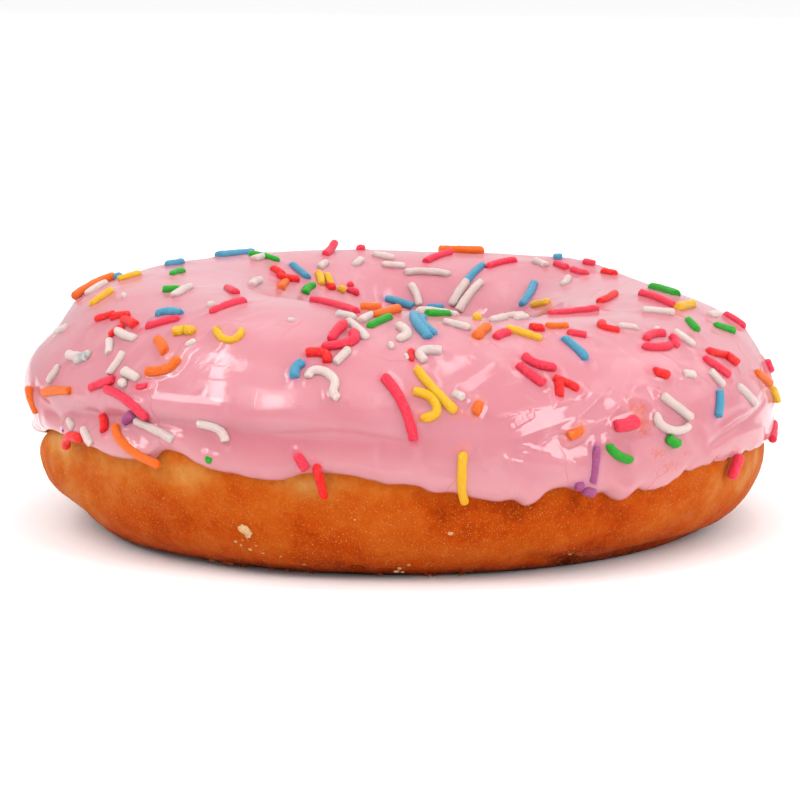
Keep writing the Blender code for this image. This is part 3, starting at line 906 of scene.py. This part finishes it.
def tube_faces(rings, sides):
    """The faces of a tube, closed at its two ends by fans round two more points."""
    pairs = [(i, (i + 1) % sides) for i in range(sides)]
    last, tip = (rings - 1) * sides, rings * sides
    faces = []
    for at in range(0, last, sides):
        faces += [[at + i, at + after, at + sides + after, at + sides + i] for i, after in pairs]
    faces += [[tip, after, i] for i, after in pairs]
    return faces + [[last + i, last + after, tip + 1] for i, after in pairs]


def add_sprinkle(joined, draw, radius_share, points):
    """One sprinkle: an uneven strand of set sugar, with broken ends. It returns points along it."""
    radius = SPRINKLE_RADIUS * radius_share
    middle, out = sprinkle_path(radius, points)
    samples = np.array([along_path(middle, share) for share in np.linspace(0, 1, LENGTH_SAMPLES)])
    length = np.linalg.norm(np.diff(samples, axis=0), axis=1).sum()
    slants = [(draw.uniform(-END_SLANT, END_SLANT), draw.uniform(0, math.tau)) for _ in range(2)]
    place = anywhere(draw)
    thickening = draw.uniform(-THICKENING, THICKENING)
    bend = draw.uniform(-SPRINKLE_BEND, SPRINKLE_BEND)
    rings = ring_places(draw, length)
    made = []
    for along, share in rings:
        at = along / length
        ahead, side, up = path_frame(middle, out, at)
        centre = along_path(middle, at) + side * bend * math.sin(math.pi * at)
        for i in range(SPRINKLE_SIDES):
            turn = math.tau * i / SPRINKLE_SIDES
            spot = place + Vector((math.cos(turn), math.sin(turn), along * LUMPS_ALONG))
            uneven = 1 + sum(height * noise.noise(spot * fineness) for fineness, height in SPRINKLE_LUMPS)
            wide = radius * share * (uneven + thickening * math.cos(math.pi * at))
            shift = 0
            for (slant, way), from_end in zip(slants, (along, length - along)):
                shift += slant * math.cos(turn - way) * wide * max(0, 1 - from_end / (2 * radius))
            made.append(centre + side * math.cos(turn) * wide + up * math.sin(turn) * wide + ahead * shift)
    for rim, end, way in ((made[:SPRINKLE_SIDES], 0, -1), (made[-SPRINKLE_SIDES:], 1, 1)):
        made.append(np.mean(rim, axis=0) + way * END_DOME * path_heading(middle, end))
    joined.add(made, tube_faces(len(rings), SPRINKLE_SIDES), draw.uniform(0, 1))
    return samples


def hidden_places(draw):
    """Places on the icing that the front doesn't show, evenly spread: (azimuth, section angle, radius)."""
    ranges = ((-180, 180), SCATTERED_ANGLES, (0, OUTER_RADIUS))
    azimuth, angle, chance = (np.array([draw.uniform(*ends) for _ in range(TRIES)]) for ends in ranges)
    radius = core_radius(azimuth) + SCATTER_RADIUS * np.cos(np.radians(angle))
    _, out = surface_frame(azimuth, angle)
    at_back, at_sides = FACING_AWAY
    least = at_back + (at_sides - at_back) * np.abs(np.sin(np.radians(azimuth)))
    faces_away = out @ np.array(outward(0, FRONT_ELEVATION)) < least
    down_the_hole = (np.abs(azimuth) >= HOLE_FROM_AZIMUTH) & (angle > HOLE_FROM_ANGLE)
    kept = (faces_away | down_the_hole) & (chance < radius)
    return zip(azimuth[kept].tolist(), angle[kept].tolist(), radius[kept].tolist())


def scattered_path(draw, azimuth, angle, radius):
    """Three points that a scattered sprinkle lies along, through a place, any way round."""
    length = draw.uniform(*(SCATTERED_LENGTH if angle < SHORT_FROM_ANGLE else LENGTH_IN_HOLE))
    heading = draw.uniform(0, math.tau)
    bend = draw.uniform(-SCATTERED_BEND, SCATTERED_BEND)
    cos, sin = math.cos(heading), math.sin(heading)
    points = []
    for along, aside in ((-length / 2, 0), (0, bend), (length / 2, 0)):
        turned = math.degrees((along * cos - aside * sin) / radius)
        raised = math.degrees((along * sin + aside * cos) / SCATTER_RADIUS)
        points.append((azimuth + turned, angle + raised))
    return points


def scattered_sprinkles(draw, taken):
    """More sprinkles for the parts that the front doesn't show, clear of those already there."""
    colours = [colour for colour, count in SCATTERED.items() for _ in range(count)]
    draw.shuffle(colours)
    found = []
    for azimuth, angle, radius in hidden_places(draw):
        if len(found) == len(colours):
            break
        points = scattered_path(draw, azimuth, angle, radius)
        line = through(points, np.linspace(0, 1, APART_SAMPLES)).T
        edge, hole = icing_edges(np.array([azimuth]))
        if min(line[1]) < edge[0] + FROM_THE_EDGE or max(line[1]) > hole[0] - FROM_THE_EDGE:
            continue
        spots = section_point(*line, icing_datum(*line))
        if np.linalg.norm(np.array(taken)[None] - spots[:, None], axis=-1).min() < APART:
            continue
        taken += list(spots)
        found.append((colours[len(found)], (draw.uniform(*SCATTERED_SHARE), *points)))
    return found


def make_sprinkles():
    """Every sprinkle, joined by colour, and the points along them with their colours, for the icing."""
    draw = random.Random(SEED)
    joined = {colour: Joined() for colour in SPRINKLES}
    taken, colours = [], []

    def add(colour, share, *points):
        spots = add_sprinkle(joined[colour], draw, share, points)
        taken.extend(spots)
        colours.extend([colour] * len(spots))

    for colour, sprinkles in SPRINKLES.items():
        for sprinkle in sprinkles:
            add(colour, *sprinkle)
    for colour, sprinkle in scattered_sprinkles(draw, list(taken)):
        add(colour, *sprinkle)
    tree = kdtree.KDTree(len(taken))
    for i, point in enumerate(taken):
        tree.insert(point, i)
    tree.balance()
    return joined, (tree, colours)


# ---------------------------------------------------------------- crumbs

# Crumbs on the dough: colour, azimuth, height, their half sizes across, up and out, and turn in degrees.
CRUMBS = [
    ("pale", -23.6, 6.3, 0.72, 0.66, 0.34, -35), ("pale", -23.1, 5.8, 0.4, 0.62, 0.3, -20),
    ("pale", -25.7, 4.6, 0.22, 0.16, 0.06, 25), ("pale", -25, 4.2, 0.14, 0.16, 0.05, 0),
    ("pale", -24.4, 4.9, 0.12, 0.11, 0.05, 0), ("pale", -23.7, 3.7, 0.2, 0.22, 0.08, 50),
    ("pale", -22.4, 4.3, 0.14, 0.1, 0.05, 0), ("pale", -21.7, 3.3, 0.18, 0.14, 0.06, -30),
    ("pale", -18.9, 3, 0.16, 0.11, 0.06, 0), ("pale", -15.6, 2, 0.18, 0.13, 0.08, 0),
    ("pale", -6.6, 8, 0.11, 0.13, 0.05, 30), ("pale", -0.6, 1, 0.34, 0.22, 0.22, 15),
    ("pale", -0.1, 1.5, 0.26, 0.2, 0.18, -20), ("pale", 0.4, 0.9, 0.22, 0.2, 0.18, 0),
    ("pale", 7.4, 6.4, 0.3, 0.2, 0.12, 10), ("pale", 1.4, 2, 0.2, 0.16, 0.12, 0),
    ("pale", 29, 1.9, 0.26, 0.18, 0.15, 0), ("brown", -34.6, 0.8, 0.5, 0.34, 0.3, 10),
    ("brown", -33.6, 0.4, 0.3, 0.26, 0.3, 40), ("brown", -32.4, 0.5, 0.44, 0.26, 0.3, -15),
    ("brown", -31.2, 0.6, 0.56, 0.36, 0.34, 10), ("brown", -30.1, 0.3, 0.26, 0.22, 0.26, 0),
    ("brown", -28.9, 0.4, 0.36, 0.24, 0.28, 25), ("brown", -23, 0.5, 0.34, 0.22, 0.24, 0),
    ("brown", -20.2, 0.4, 0.3, 0.24, 0.26, 30), ("brown", -16, 0.3, 0.36, 0.2, 0.22, 0),
    ("brown", -3.6, 0.4, 0.34, 0.24, 0.24, 20), ("brown", 5, 0.3, 0.46, 0.26, 0.3, 0),
    ("brown", 6.2, 0.2, 0.26, 0.2, 0.24, 50), ("brown", 11, 0.3, 0.34, 0.2, 0.24, 0),
    ("brown", 30.5, 2, 0.36, 0.28, 0.24, 0), ("pale", 104, 5, 0.6, 0.4, 0.3, 0),
    ("brown", 127, 0.6, 0.7, 0.4, 0.4, 0), ("pale", 171, 7.5, 0.9, 0.7, 0.35, 40),
    ("brown", 196, 0.5, 0.8, 0.4, 0.45, 0), ("brown", 222, 0.7, 0.6, 0.4, 0.4, 0),
    ("pale", 240, 4, 0.5, 0.35, 0.25, 0),
]

# A crumb's lumps, as (fineness, height), how fine its ball is, and from what size it has a crumb's colour.
CRUMB_LUMPS = [(1.6, 0.42), (5, 0.168)]
CRUMB_FINENESS, GRAIN_FINENESS = 3, 1
WHOLE_CRUMB = 0.3

# Fine pale grains lie over the dough's side in drifts: how many are tried, their half sizes, the heights
# that they lie at, their shares of that size across, up and out, the drifts' size in degrees and
# millimetres, their place in the noise, and the range of the noise at which they begin.
GRAINS = 8000
GRAIN_SIZE = (0.025, 0.065)
GRAIN_HEIGHTS = (0.6, 10.5)
GRAIN_ACROSS, GRAIN_UP, GRAIN_OUT = (0.8, 1.6), (0.7, 1.2), 0.8
DRIFT_SIZE = (9, 3)
DRIFT_PLACE = 4.5
DRIFT_EDGE = (-0.6, 0.4)


def ball(fineness):
    """The points and faces of a ball of radius 1."""
    shape = bmesh.new()
    bmesh.ops.create_icosphere(shape, subdivisions=fineness, radius=1)
    points = np.array([vertex.co for vertex in shape.verts])
    faces = [[vertex.index for vertex in face.verts] for face in shape.faces]
    shape.free()
    return points, faces


def add_crumbs(joined, draw, shape, crumbs):
    """Torn lumps that sit on the dough's outer side."""
    points, faces = shape
    azimuth, height = (np.array([float(crumb[k]) for crumb in crumbs]) for k in (1, 2))
    angle = angle_at_height(azimuth, height, OUTSIDE)
    centres = dough_surface(azimuth, angle)
    _, outs = surface_frame(azimuth, angle)
    for (colour, _, _, *sizes, turned), centre, out in zip(crumbs, centres, outs):
        place = anywhere(draw)
        lumpy = points.copy()
        for fineness, lump in CRUMB_LUMPS:
            values = [noise.noise(Vector(point) * fineness + place) for point in points.tolist()]
            lumpy += points * lump * np.array(values)[:, None]
        side = unit(np.cross([0, 0, 1], out))
        up = np.cross(out, side)
        cos, sin = math.cos(math.radians(turned)), math.sin(math.radians(turned))
        made = centre + (lumpy * sizes) @ np.array([side * cos + up * sin, up * cos - side * sin, out])
        made[:, 2] = np.maximum(made[:, 2], 0)
        joined[colour].add(made, faces, smooth_step(max(sizes) / WHOLE_CRUMB))


def pale_grains(draw):
    """Fine grains in loose drifts over the dough's side."""
    grains = []
    for _ in range(GRAINS):
        azimuth, height = draw.uniform(-180, 180), draw.uniform(*GRAIN_HEIGHTS)
        spot = Vector((azimuth / DRIFT_SIZE[0], height / DRIFT_SIZE[1], DRIFT_PLACE))
        if noise.noise(spot) < draw.uniform(*DRIFT_EDGE):
            continue
        size = draw.uniform(*GRAIN_SIZE)
        sizes = [size * draw.uniform(*GRAIN_ACROSS), size * draw.uniform(*GRAIN_UP), size * GRAIN_OUT]
        grains.append(("pale", azimuth, height, *sizes, draw.uniform(0, 180)))
    return grains


def make_crumbs():
    draw = random.Random(SEED + 1)
    joined = {colour: Joined() for colour in CRUMB_COLOURS}
    add_crumbs(joined, draw, ball(CRUMB_FINENESS), CRUMBS)
    add_crumbs(joined, draw, ball(GRAIN_FINENESS), pale_grains(draw))
    return joined


# ---------------------------------------------------------------- materials

# The light on the object is stronger than white, so a surface is this much darker than it looks.
LIT = 0.71
SUGAR_LIT = 0.76

# Display colours, of 0 to 255. The crust's go from the proof line to the foot, as (browning, colour).
CRUST_COLOURS = [
    (0.05, 228, 172, 108), (0.26, 221, 137, 60), (0.46, 212, 101, 24),
    (0.64, 200, 76, 5), (0.82, 158, 50, 3), (1.00, 92, 30, 6),
]
SPRINKLE_COLOURS = {
    "white": (232, 211, 206), "pink": (252, 46, 80), "red": (255, 21, 21), "orange": (254, 113, 0),
    "yellow": (247, 188, 21), "green": (22, 174, 18), "blue": (77, 161, 196), "purple": (176, 80, 137),
}
ICING_COLOURS = ((213, 129, 141), (218, 142, 153))
CRUMB_COLOURS = {"pale": (246, 204, 148), "brown": (176, 84, 34)}
GRAIN_COLOURS = {"pale": (226, 140, 66), "brown": (140, 60, 20)}

# The darker parts of sugar and crumbs, as shares of their colour, and how far sugar's grains are painted
# towards white as glints.
SUGAR_DARKER, SUGAR_GLINT_SHARE = 0.9, 0.13
CRUMB_DARKER = (0.75, 0.62, 0.5)

# The icing's hair cracks: how large their cells are, how far these are bent, and how large the bends are.
CRACK_CELLS, CRACK_BEND, BEND_SIZE = 0.013, 0.004, 0.00625

# The icing is duller at its crown: the heights over which that sets in, and how much rougher it gets.
DULL_HEIGHTS, DULLNESS = (0.0262, 0.0292), 0.17


def linear(red, green, blue, share=LIT):
    """A display colour as the linear colour that shaders take, darker by a share."""
    values = [value / 255 for value in (red, green, blue)]
    values = [value / 12.92 if value <= 0.04045 else ((value + 0.055) / 1.055) ** 2.4 for value in values]
    return (*(value * share for value in values), 1)


class Surface:
    """A material and the few kinds of node that these are made of. Sizes and heights are in metres."""

    def __init__(self, name):
        self.material = bpy.data.materials.new(name)
        self.material.use_nodes = True
        self.tree = self.material.node_tree
        self.place = self.node("ShaderNodeTexCoord").outputs["Object"]

    def node(self, kind, inputs=(), **settings):
        made = self.tree.nodes.new(kind)
        for name, value in settings.items():
            setattr(made, name, value)
        for name, value in dict(inputs).items():
            self.put(made.inputs[name], value)
        return made

    def put(self, socket, value):
        if isinstance(value, bpy.types.NodeSocket):
            self.tree.links.new(value, socket)
        else:
            socket.default_value = value

    def finished(self, **values):
        """The material, with these values of its shader."""
        for name, value in values.items():
            self.put(self.tree.nodes["Principled BSDF"].inputs[name.replace("_", " ")], value)
        return self.material

    def noise(self, size, detail=3, roughness=0.5, distortion=0):
        """Noise with lumps of a size."""
        inputs = {"Vector": self.place, "Scale": 1 / size, "Detail": detail}
        inputs.update({"Roughness": roughness, "Distortion": distortion})
        return self.node("ShaderNodeTexNoise", inputs).outputs["Fac"]

    def cells(self, size, feature="F1", vector=None):
        inputs = {"Vector": vector or self.place, "Scale": 1 / size}
        return self.node("ShaderNodeTexVoronoi", inputs, feature=feature)

    def specks(self, spacing, rarity, radius, edge, softness=0.05):
        """Round specks, one in some of the cells. Radius and edge are shares of the spacing."""
        cells = self.cells(spacing)
        chance = self.node("ShaderNodeSeparateColor", {"Color": cells.outputs["Color"]}).outputs[0]
        chosen = self.between(chance, rarity, rarity + softness)
        return self.times(chosen, self.between(cells.outputs["Distance"], radius, edge, 1, 0))

    def attribute(self, name):
        return self.node("ShaderNodeAttribute", attribute_name=name).outputs["Fac"]

    def between(self, value, low, high, to_low=0, to_high=1):
        """The value spread from one range to another, smoothly, and held at its ends."""
        inputs = {"Value": value, "From Min": low, "From Max": high, "To Min": to_low, "To Max": to_high}
        return self.node("ShaderNodeMapRange", inputs, interpolation_type="SMOOTHSTEP").outputs["Result"]

    def plus(self, first, second):
        return self.node("ShaderNodeMath", {0: first, 1: second}, operation="ADD").outputs[0]

    def times(self, first, second):
        return self.node("ShaderNodeMath", {0: first, 1: second}, operation="MULTIPLY").outputs[0]

    def mix(self, share, first, second):
        made = self.node("ShaderNodeMix", {"Factor": share}, data_type="RGBA")
        ends = [socket for socket in made.inputs if socket.type == "RGBA"]
        self.put(ends[0], first)
        self.put(ends[1], second)
        return next(socket for socket in made.outputs if socket.type == "RGBA")

    def tint(self, colour, mask, strength, shade):
        """The colour, turned towards a display colour by this strength where the mask is 1."""
        return self.mix(self.times(mask, strength), colour, linear(*shade))

    def ramp(self, value, stops):
        made = self.node("ShaderNodeValToRGB", {"Fac": value})
        elements = made.color_ramp.elements
        while len(elements) < len(stops):
            elements.new(1)
        for element, (position, *colour) in zip(elements, stops):
            element.position = position
            element.color = linear(*colour)
        return made.outputs["Color"]

    def bump(self, *layers):
        """Bumps from layers of (pattern, height)."""
        normal = None
        for pattern, height in layers:
            made = self.node("ShaderNodeBump", {"Height": pattern, "Distance": height})
            if normal:
                self.put(made.inputs["Normal"], normal)
            normal = made.outputs["Normal"]
        return normal


def dough_material():
    surface = Surface("fried_dough")
    blotches = surface.noise(0.0034, distortion=0.4)
    coarse = surface.noise(0.008, detail=4, roughness=0.6)
    fine = surface.noise(0.0009, detail=5, roughness=0.7)
    # Browning, with painted shade under the icing's front edge.
    varied = surface.attribute("browning_and_shade")
    for pattern, amount in ((coarse, 0.10), (blotches, 0.06), (fine, 0.06)):
        varied = surface.plus(varied, surface.between(pattern, 0.25, 0.75, -amount, amount))
    specks = surface.specks(0.00062, rarity=0.72, radius=0.11, edge=0.24)
    grains = surface.specks(0.0003, rarity=0.5, radius=0.28, edge=0.52)
    grains = surface.times(grains, surface.between(coarse, 0.3, 0.6, 0.35, 1))
    colour = surface.tint(surface.ramp(varied, CRUST_COLOURS), grains, 0.36, (230, 138, 40))
    return surface.finished(
        Base_Color=surface.tint(colour, specks, 0.34, (238, 176, 112)),
        Roughness=surface.between(blotches, 0.3, 0.7, 0.5, 0.7),
        Normal=surface.bump((fine, 0.00034), (grains, 0.00005), (specks, 0.0001)),
        Subsurface_Weight=0.12,
        Subsurface_Radius=(1.0, 0.35, 0.10),
        Subsurface_Scale=0.0012,
        Specular_IOR_Level=0.035,
    )


def cracks(surface, where):
    """The icing's hair cracks, along the bent edges of large cells."""
    warp = surface.node("ShaderNodeTexNoise", {"Vector": surface.place, "Scale": 1 / BEND_SIZE})
    bend = {0: warp.outputs["Color"], 1: (CRACK_BEND,) * 3}
    shift = surface.node("ShaderNodeVectorMath", bend, operation="MULTIPLY")
    bent = surface.node("ShaderNodeVectorMath", {0: surface.place, 1: shift.outputs[0]}, operation="ADD")
    web = surface.cells(CRACK_CELLS, "DISTANCE_TO_EDGE", bent.outputs[0]).outputs["Distance"]
    return surface.times(surface.between(web, 0.0, 0.01, 1, 0), surface.between(where, 0.5, 0.6))


def icing_material():
    surface = Surface("pink_icing")
    broad = surface.noise(0.012)
    fine = surface.noise(0.0016)
    streaks = surface.noise(0.0055, roughness=0.55, distortion=1.2)
    crack = cracks(surface, broad)
    stain = surface.attribute("stain")
    crumbs = surface.noise(0.0005, detail=4, roughness=0.7)
    crumbs = surface.plus(crumbs, surface.times(stain, 0.28))
    crumbs = surface.times(surface.between(crumbs, 0.64, 0.84), surface.between(stain, 0.05, 0.35))
    colour = surface.mix(surface.between(broad, 0.3, 0.7), *(linear(*pink) for pink in ICING_COLOURS))
    tints = [
        (surface.between(streaks, 0.55, 0.75), 0.25, (228, 172, 176)),
        # Painted shade: darker pink down in the crease and along its shadow line.
        (surface.attribute("deep"), 0.45, (204, 98, 114)),
        # Painted sheen: paler pink along the icing's rim.
        (surface.attribute("rim"), 0.28, (240, 180, 178)),
        (stain, 0.16, (228, 128, 96)),
        (crumbs, 0.62, (220, 92, 44)),
        (surface.between(surface.attribute("thin"), 0.35, 1.0), 0.30, (236, 146, 130)),
        (crack, 0.45, (222, 108, 124)),
    ]
    # Painted shade: the coloured shade round nearby sprinkles.
    tints += [(surface.attribute(name), SPRINKLE_SHADE_SHARE, shade_tint) for name, (_, shade_tint) in SPRINKLE_SHADE_TINTS.items()]
    for tint in tints:
        colour = surface.tint(colour, *tint)
    height = surface.node("ShaderNodeSeparateXYZ", {"Vector": surface.place}).outputs["Z"]
    duller = surface.between(height, *DULL_HEIGHTS, 0, DULLNESS)
    return surface.finished(
        Base_Color=colour,
        Roughness=surface.plus(surface.between(broad, 0.3, 0.7, 0.06, 0.10), duller),
        Normal=surface.bump((streaks, 0.00003), (fine, 0.000012), (crack, -0.00004)),
        Subsurface_Weight=0.35,
        Subsurface_Radius=(1.0, 0.40, 0.38),
        Subsurface_Scale=0.0014,
    )


def sugar_material(colour):
    surface = Surface("sugar_" + colour)
    shade = linear(*SPRINKLE_COLOURS[colour], SUGAR_LIT)
    darker = (*(value * SUGAR_DARKER for value in shade[:3]), 1)
    painted_glint = (*(value + (SUGAR_LIT - value) * SUGAR_GLINT_SHARE for value in shade[:3]), 1)
    grain = surface.noise(0.00032, detail=4, roughness=0.75)
    cloud = surface.noise(0.0018, detail=2)
    toned = surface.mix(surface.attribute("tone"), darker, shade)
    toned = surface.mix(surface.between(cloud, 0.35, 0.7, 0, 0.7), toned, shade)
    # Painted glints: the sugar's grains turned towards white.
    toned = surface.mix(surface.between(grain, 0.5, 0.8, 0, 0.8), toned, painted_glint)
    beads = surface.bump((grain, 0.0003))
    return surface.finished(
        Base_Color=toned,
        Roughness=surface.between(grain, 0.3, 0.7, 0.32, 0.5),
        Normal=beads,
        Subsurface_Weight=0.6,
        Subsurface_Radius=(1.0, 0.5, 0.3),
        Subsurface_Scale=0.0010,
        Specular_IOR_Level=0.12,
        Coat_Weight=0.4,
        Coat_Roughness=0.12,
        Coat_Normal=beads,
    )


def crumb_material(colour):
    surface = Surface("crumb_" + colour)
    crumb = linear(*CRUMB_COLOURS[colour])
    darker = (*(value * share for value, share in zip(crumb, CRUMB_DARKER)), 1)
    grain = surface.noise(0.0004, detail=4, roughness=0.7)
    shade = surface.mix(surface.between(grain, 0.35, 0.65), darker, crumb)
    return surface.finished(
        Base_Color=surface.mix(surface.attribute("tone"), linear(*GRAIN_COLOURS[colour]), shade),
        Roughness=0.75,
        Normal=surface.bump((grain, 0.0002)),
        Subsurface_Weight=0.15,
        Subsurface_Radius=(1.0, 0.6, 0.3),
        Subsurface_Scale=0.0008,
    )


def floor_material():
    surface = Surface("floor")
    grain = surface.noise(0.02, detail=2)
    return surface.finished(
        Base_Color=surface.mix(grain, (0.90, 0.90, 0.90, 1), (0.92, 0.92, 0.92, 1)),
        Roughness=0.8,
        Specular_IOR_Level=0.2,
    )


# ---------------------------------------------------------------- the stage

FLOOR_HALF = 4.0
AIM = Vector((0, 0, 0.0146))
CAMERA_DISTANCE = 0.38
CAMERA_NEAR = 0.01
LENS = 134.6
SENSOR = 36
WORLD_STRENGTH = 0.74
SKY_STRENGTH = 0.95
SKY_WIDTH = 100

# Soft lights: azimuth, elevation, distance, width, height, how far the panel is rolled in degrees, and how
# bright it is beside a white wall.
LIGHTS = {
    "key": (-35, 58, 1.2, 1.2, 1.0, 0, 0.70),
    "front_fill": (8, 16, 1.5, 1.6, 0.7, 0, 0.4),
    "right_fill": (105, 35, 1.2, 1.0, 0.8, 0, 0.8),
    "window_top": (-98, 56, 1.0, 0.05, 0.38, 66, 8.5),
    "window_foot": (-71, 42, 1.0, 0.075, 0.34, 38, 8.5),
    "pane": (-97, 60, 0.99, 0.05, 0.20, 72, 4.5),
    "sill": (-73, 30, 1.0, 0.32, 0.14, 18, 6.0),
    "left_fill": (-75, 12, 1.6, 1.4, 0.7, 0, 0.35),
    "soft_left": (-47, 41, 1.0, 0.28, 0.54, 23, 1.3),
    "soft_left_middle": (-47, 41, 0.99, 0.20, 0.42, 23, 2.0),
    "soft_left_core": (-47, 40, 0.98, 0.11, 0.28, 23, 4.2),
    "right_panel": (50, 25, 1.0, 0.38, 0.44, -10, 7.0),
    "right_far": (78, 37, 1.0, 0.20, 0.20, -33, 5.0),
    "right_high": (95, 78, 1.0, 0.70, 0.10, 0, 1.7),
    "right_high_middle": (95, 78, 0.99, 0.60, 0.05, 0, 2.0),
    "right_high_edge": (46, 68, 1.0, 0.52, 0.08, 34, 2.4),
    "back_wall": (166, 32, 1.6, 2.0, 1.8, 0, 0.22),
}


def outward(azimuth, elevation):
    turn, rise = math.radians(azimuth), math.radians(elevation)
    return Vector((math.sin(turn) * math.cos(rise), -math.cos(turn) * math.cos(rise), math.sin(rise)))


def put_out(thing, azimuth, elevation, distance, roll=0):
    """Puts a thing this far out from the object, looking at it."""
    away = outward(azimuth, elevation)
    thing.location = AIM + away * distance
    turned = away.to_track_quat("Z", "Y") @ Quaternion((0, 0, 1), math.radians(roll))
    thing.rotation_euler = turned.to_euler()


def add_floor():
    mesh = bpy.data.meshes.new("floor")
    corners = ((-1, -1), (1, -1), (1, 1), (-1, 1))
    points = [(x * FLOOR_HALF, y * FLOOR_HALF, CAD_BOX[0].z) for x, y in corners]
    mesh.from_pydata(points, [], [(0, 1, 2, 3)])
    mesh.materials.append(floor_material())
    floor = add_object("floor", mesh)


def add_camera():
    camera = add_object("camera", bpy.data.cameras.new("camera"))
    put_out(camera, 0, FRONT_ELEVATION, CAMERA_DISTANCE)
    camera.data.lens = LENS
    camera.data.sensor_width = SENSOR
    camera.data.clip_start = CAMERA_NEAR
    bpy.context.scene.camera = camera


def add_lights():
    world = bpy.data.worlds.new("white_room")
    world.use_nodes = True
    background = world.node_tree.nodes["Background"]
    background.inputs["Color"].default_value = (1, 1, 1, 1)
    background.inputs["Strength"].default_value = WORLD_STRENGTH
    bpy.context.scene.world = world
    sky = add_object("sky", bpy.data.lights.new("sky", "SUN"))
    sky.data.energy = SKY_STRENGTH
    sky.data.angle = math.radians(SKY_WIDTH)
    for name, (azimuth, elevation, distance, width, height, roll, brightness) in LIGHTS.items():
        panel = add_object(name, bpy.data.lights.new(name, "AREA"))
        put_out(panel, azimuth, elevation, distance, roll)
        panel.data.shape = "RECTANGLE"
        panel.data.size = width
        panel.data.size_y = height
        panel.data.energy = brightness * math.pi * width * height


# ---------------------------------------------------------------- the whole scene

def main():
    bpy.context.scene.view_settings.view_transform = "Standard"
    add_camera()
    add_lights()
    add_floor()
    joined, sprinkles = make_sprinkles()
    add_piece("dough_crust", dough_mesh(), dough_material(), "fried_dough", "dough")
    add_piece("icing_glaze", icing_mesh(sprinkles), icing_material(), "pink_icing", "icing")
    add_pieces("sprinkles", joined, sugar_material, "sugar_sprinkles")
    add_pieces("crumbs", make_crumbs(), crumb_material, "fried_dough")


main()
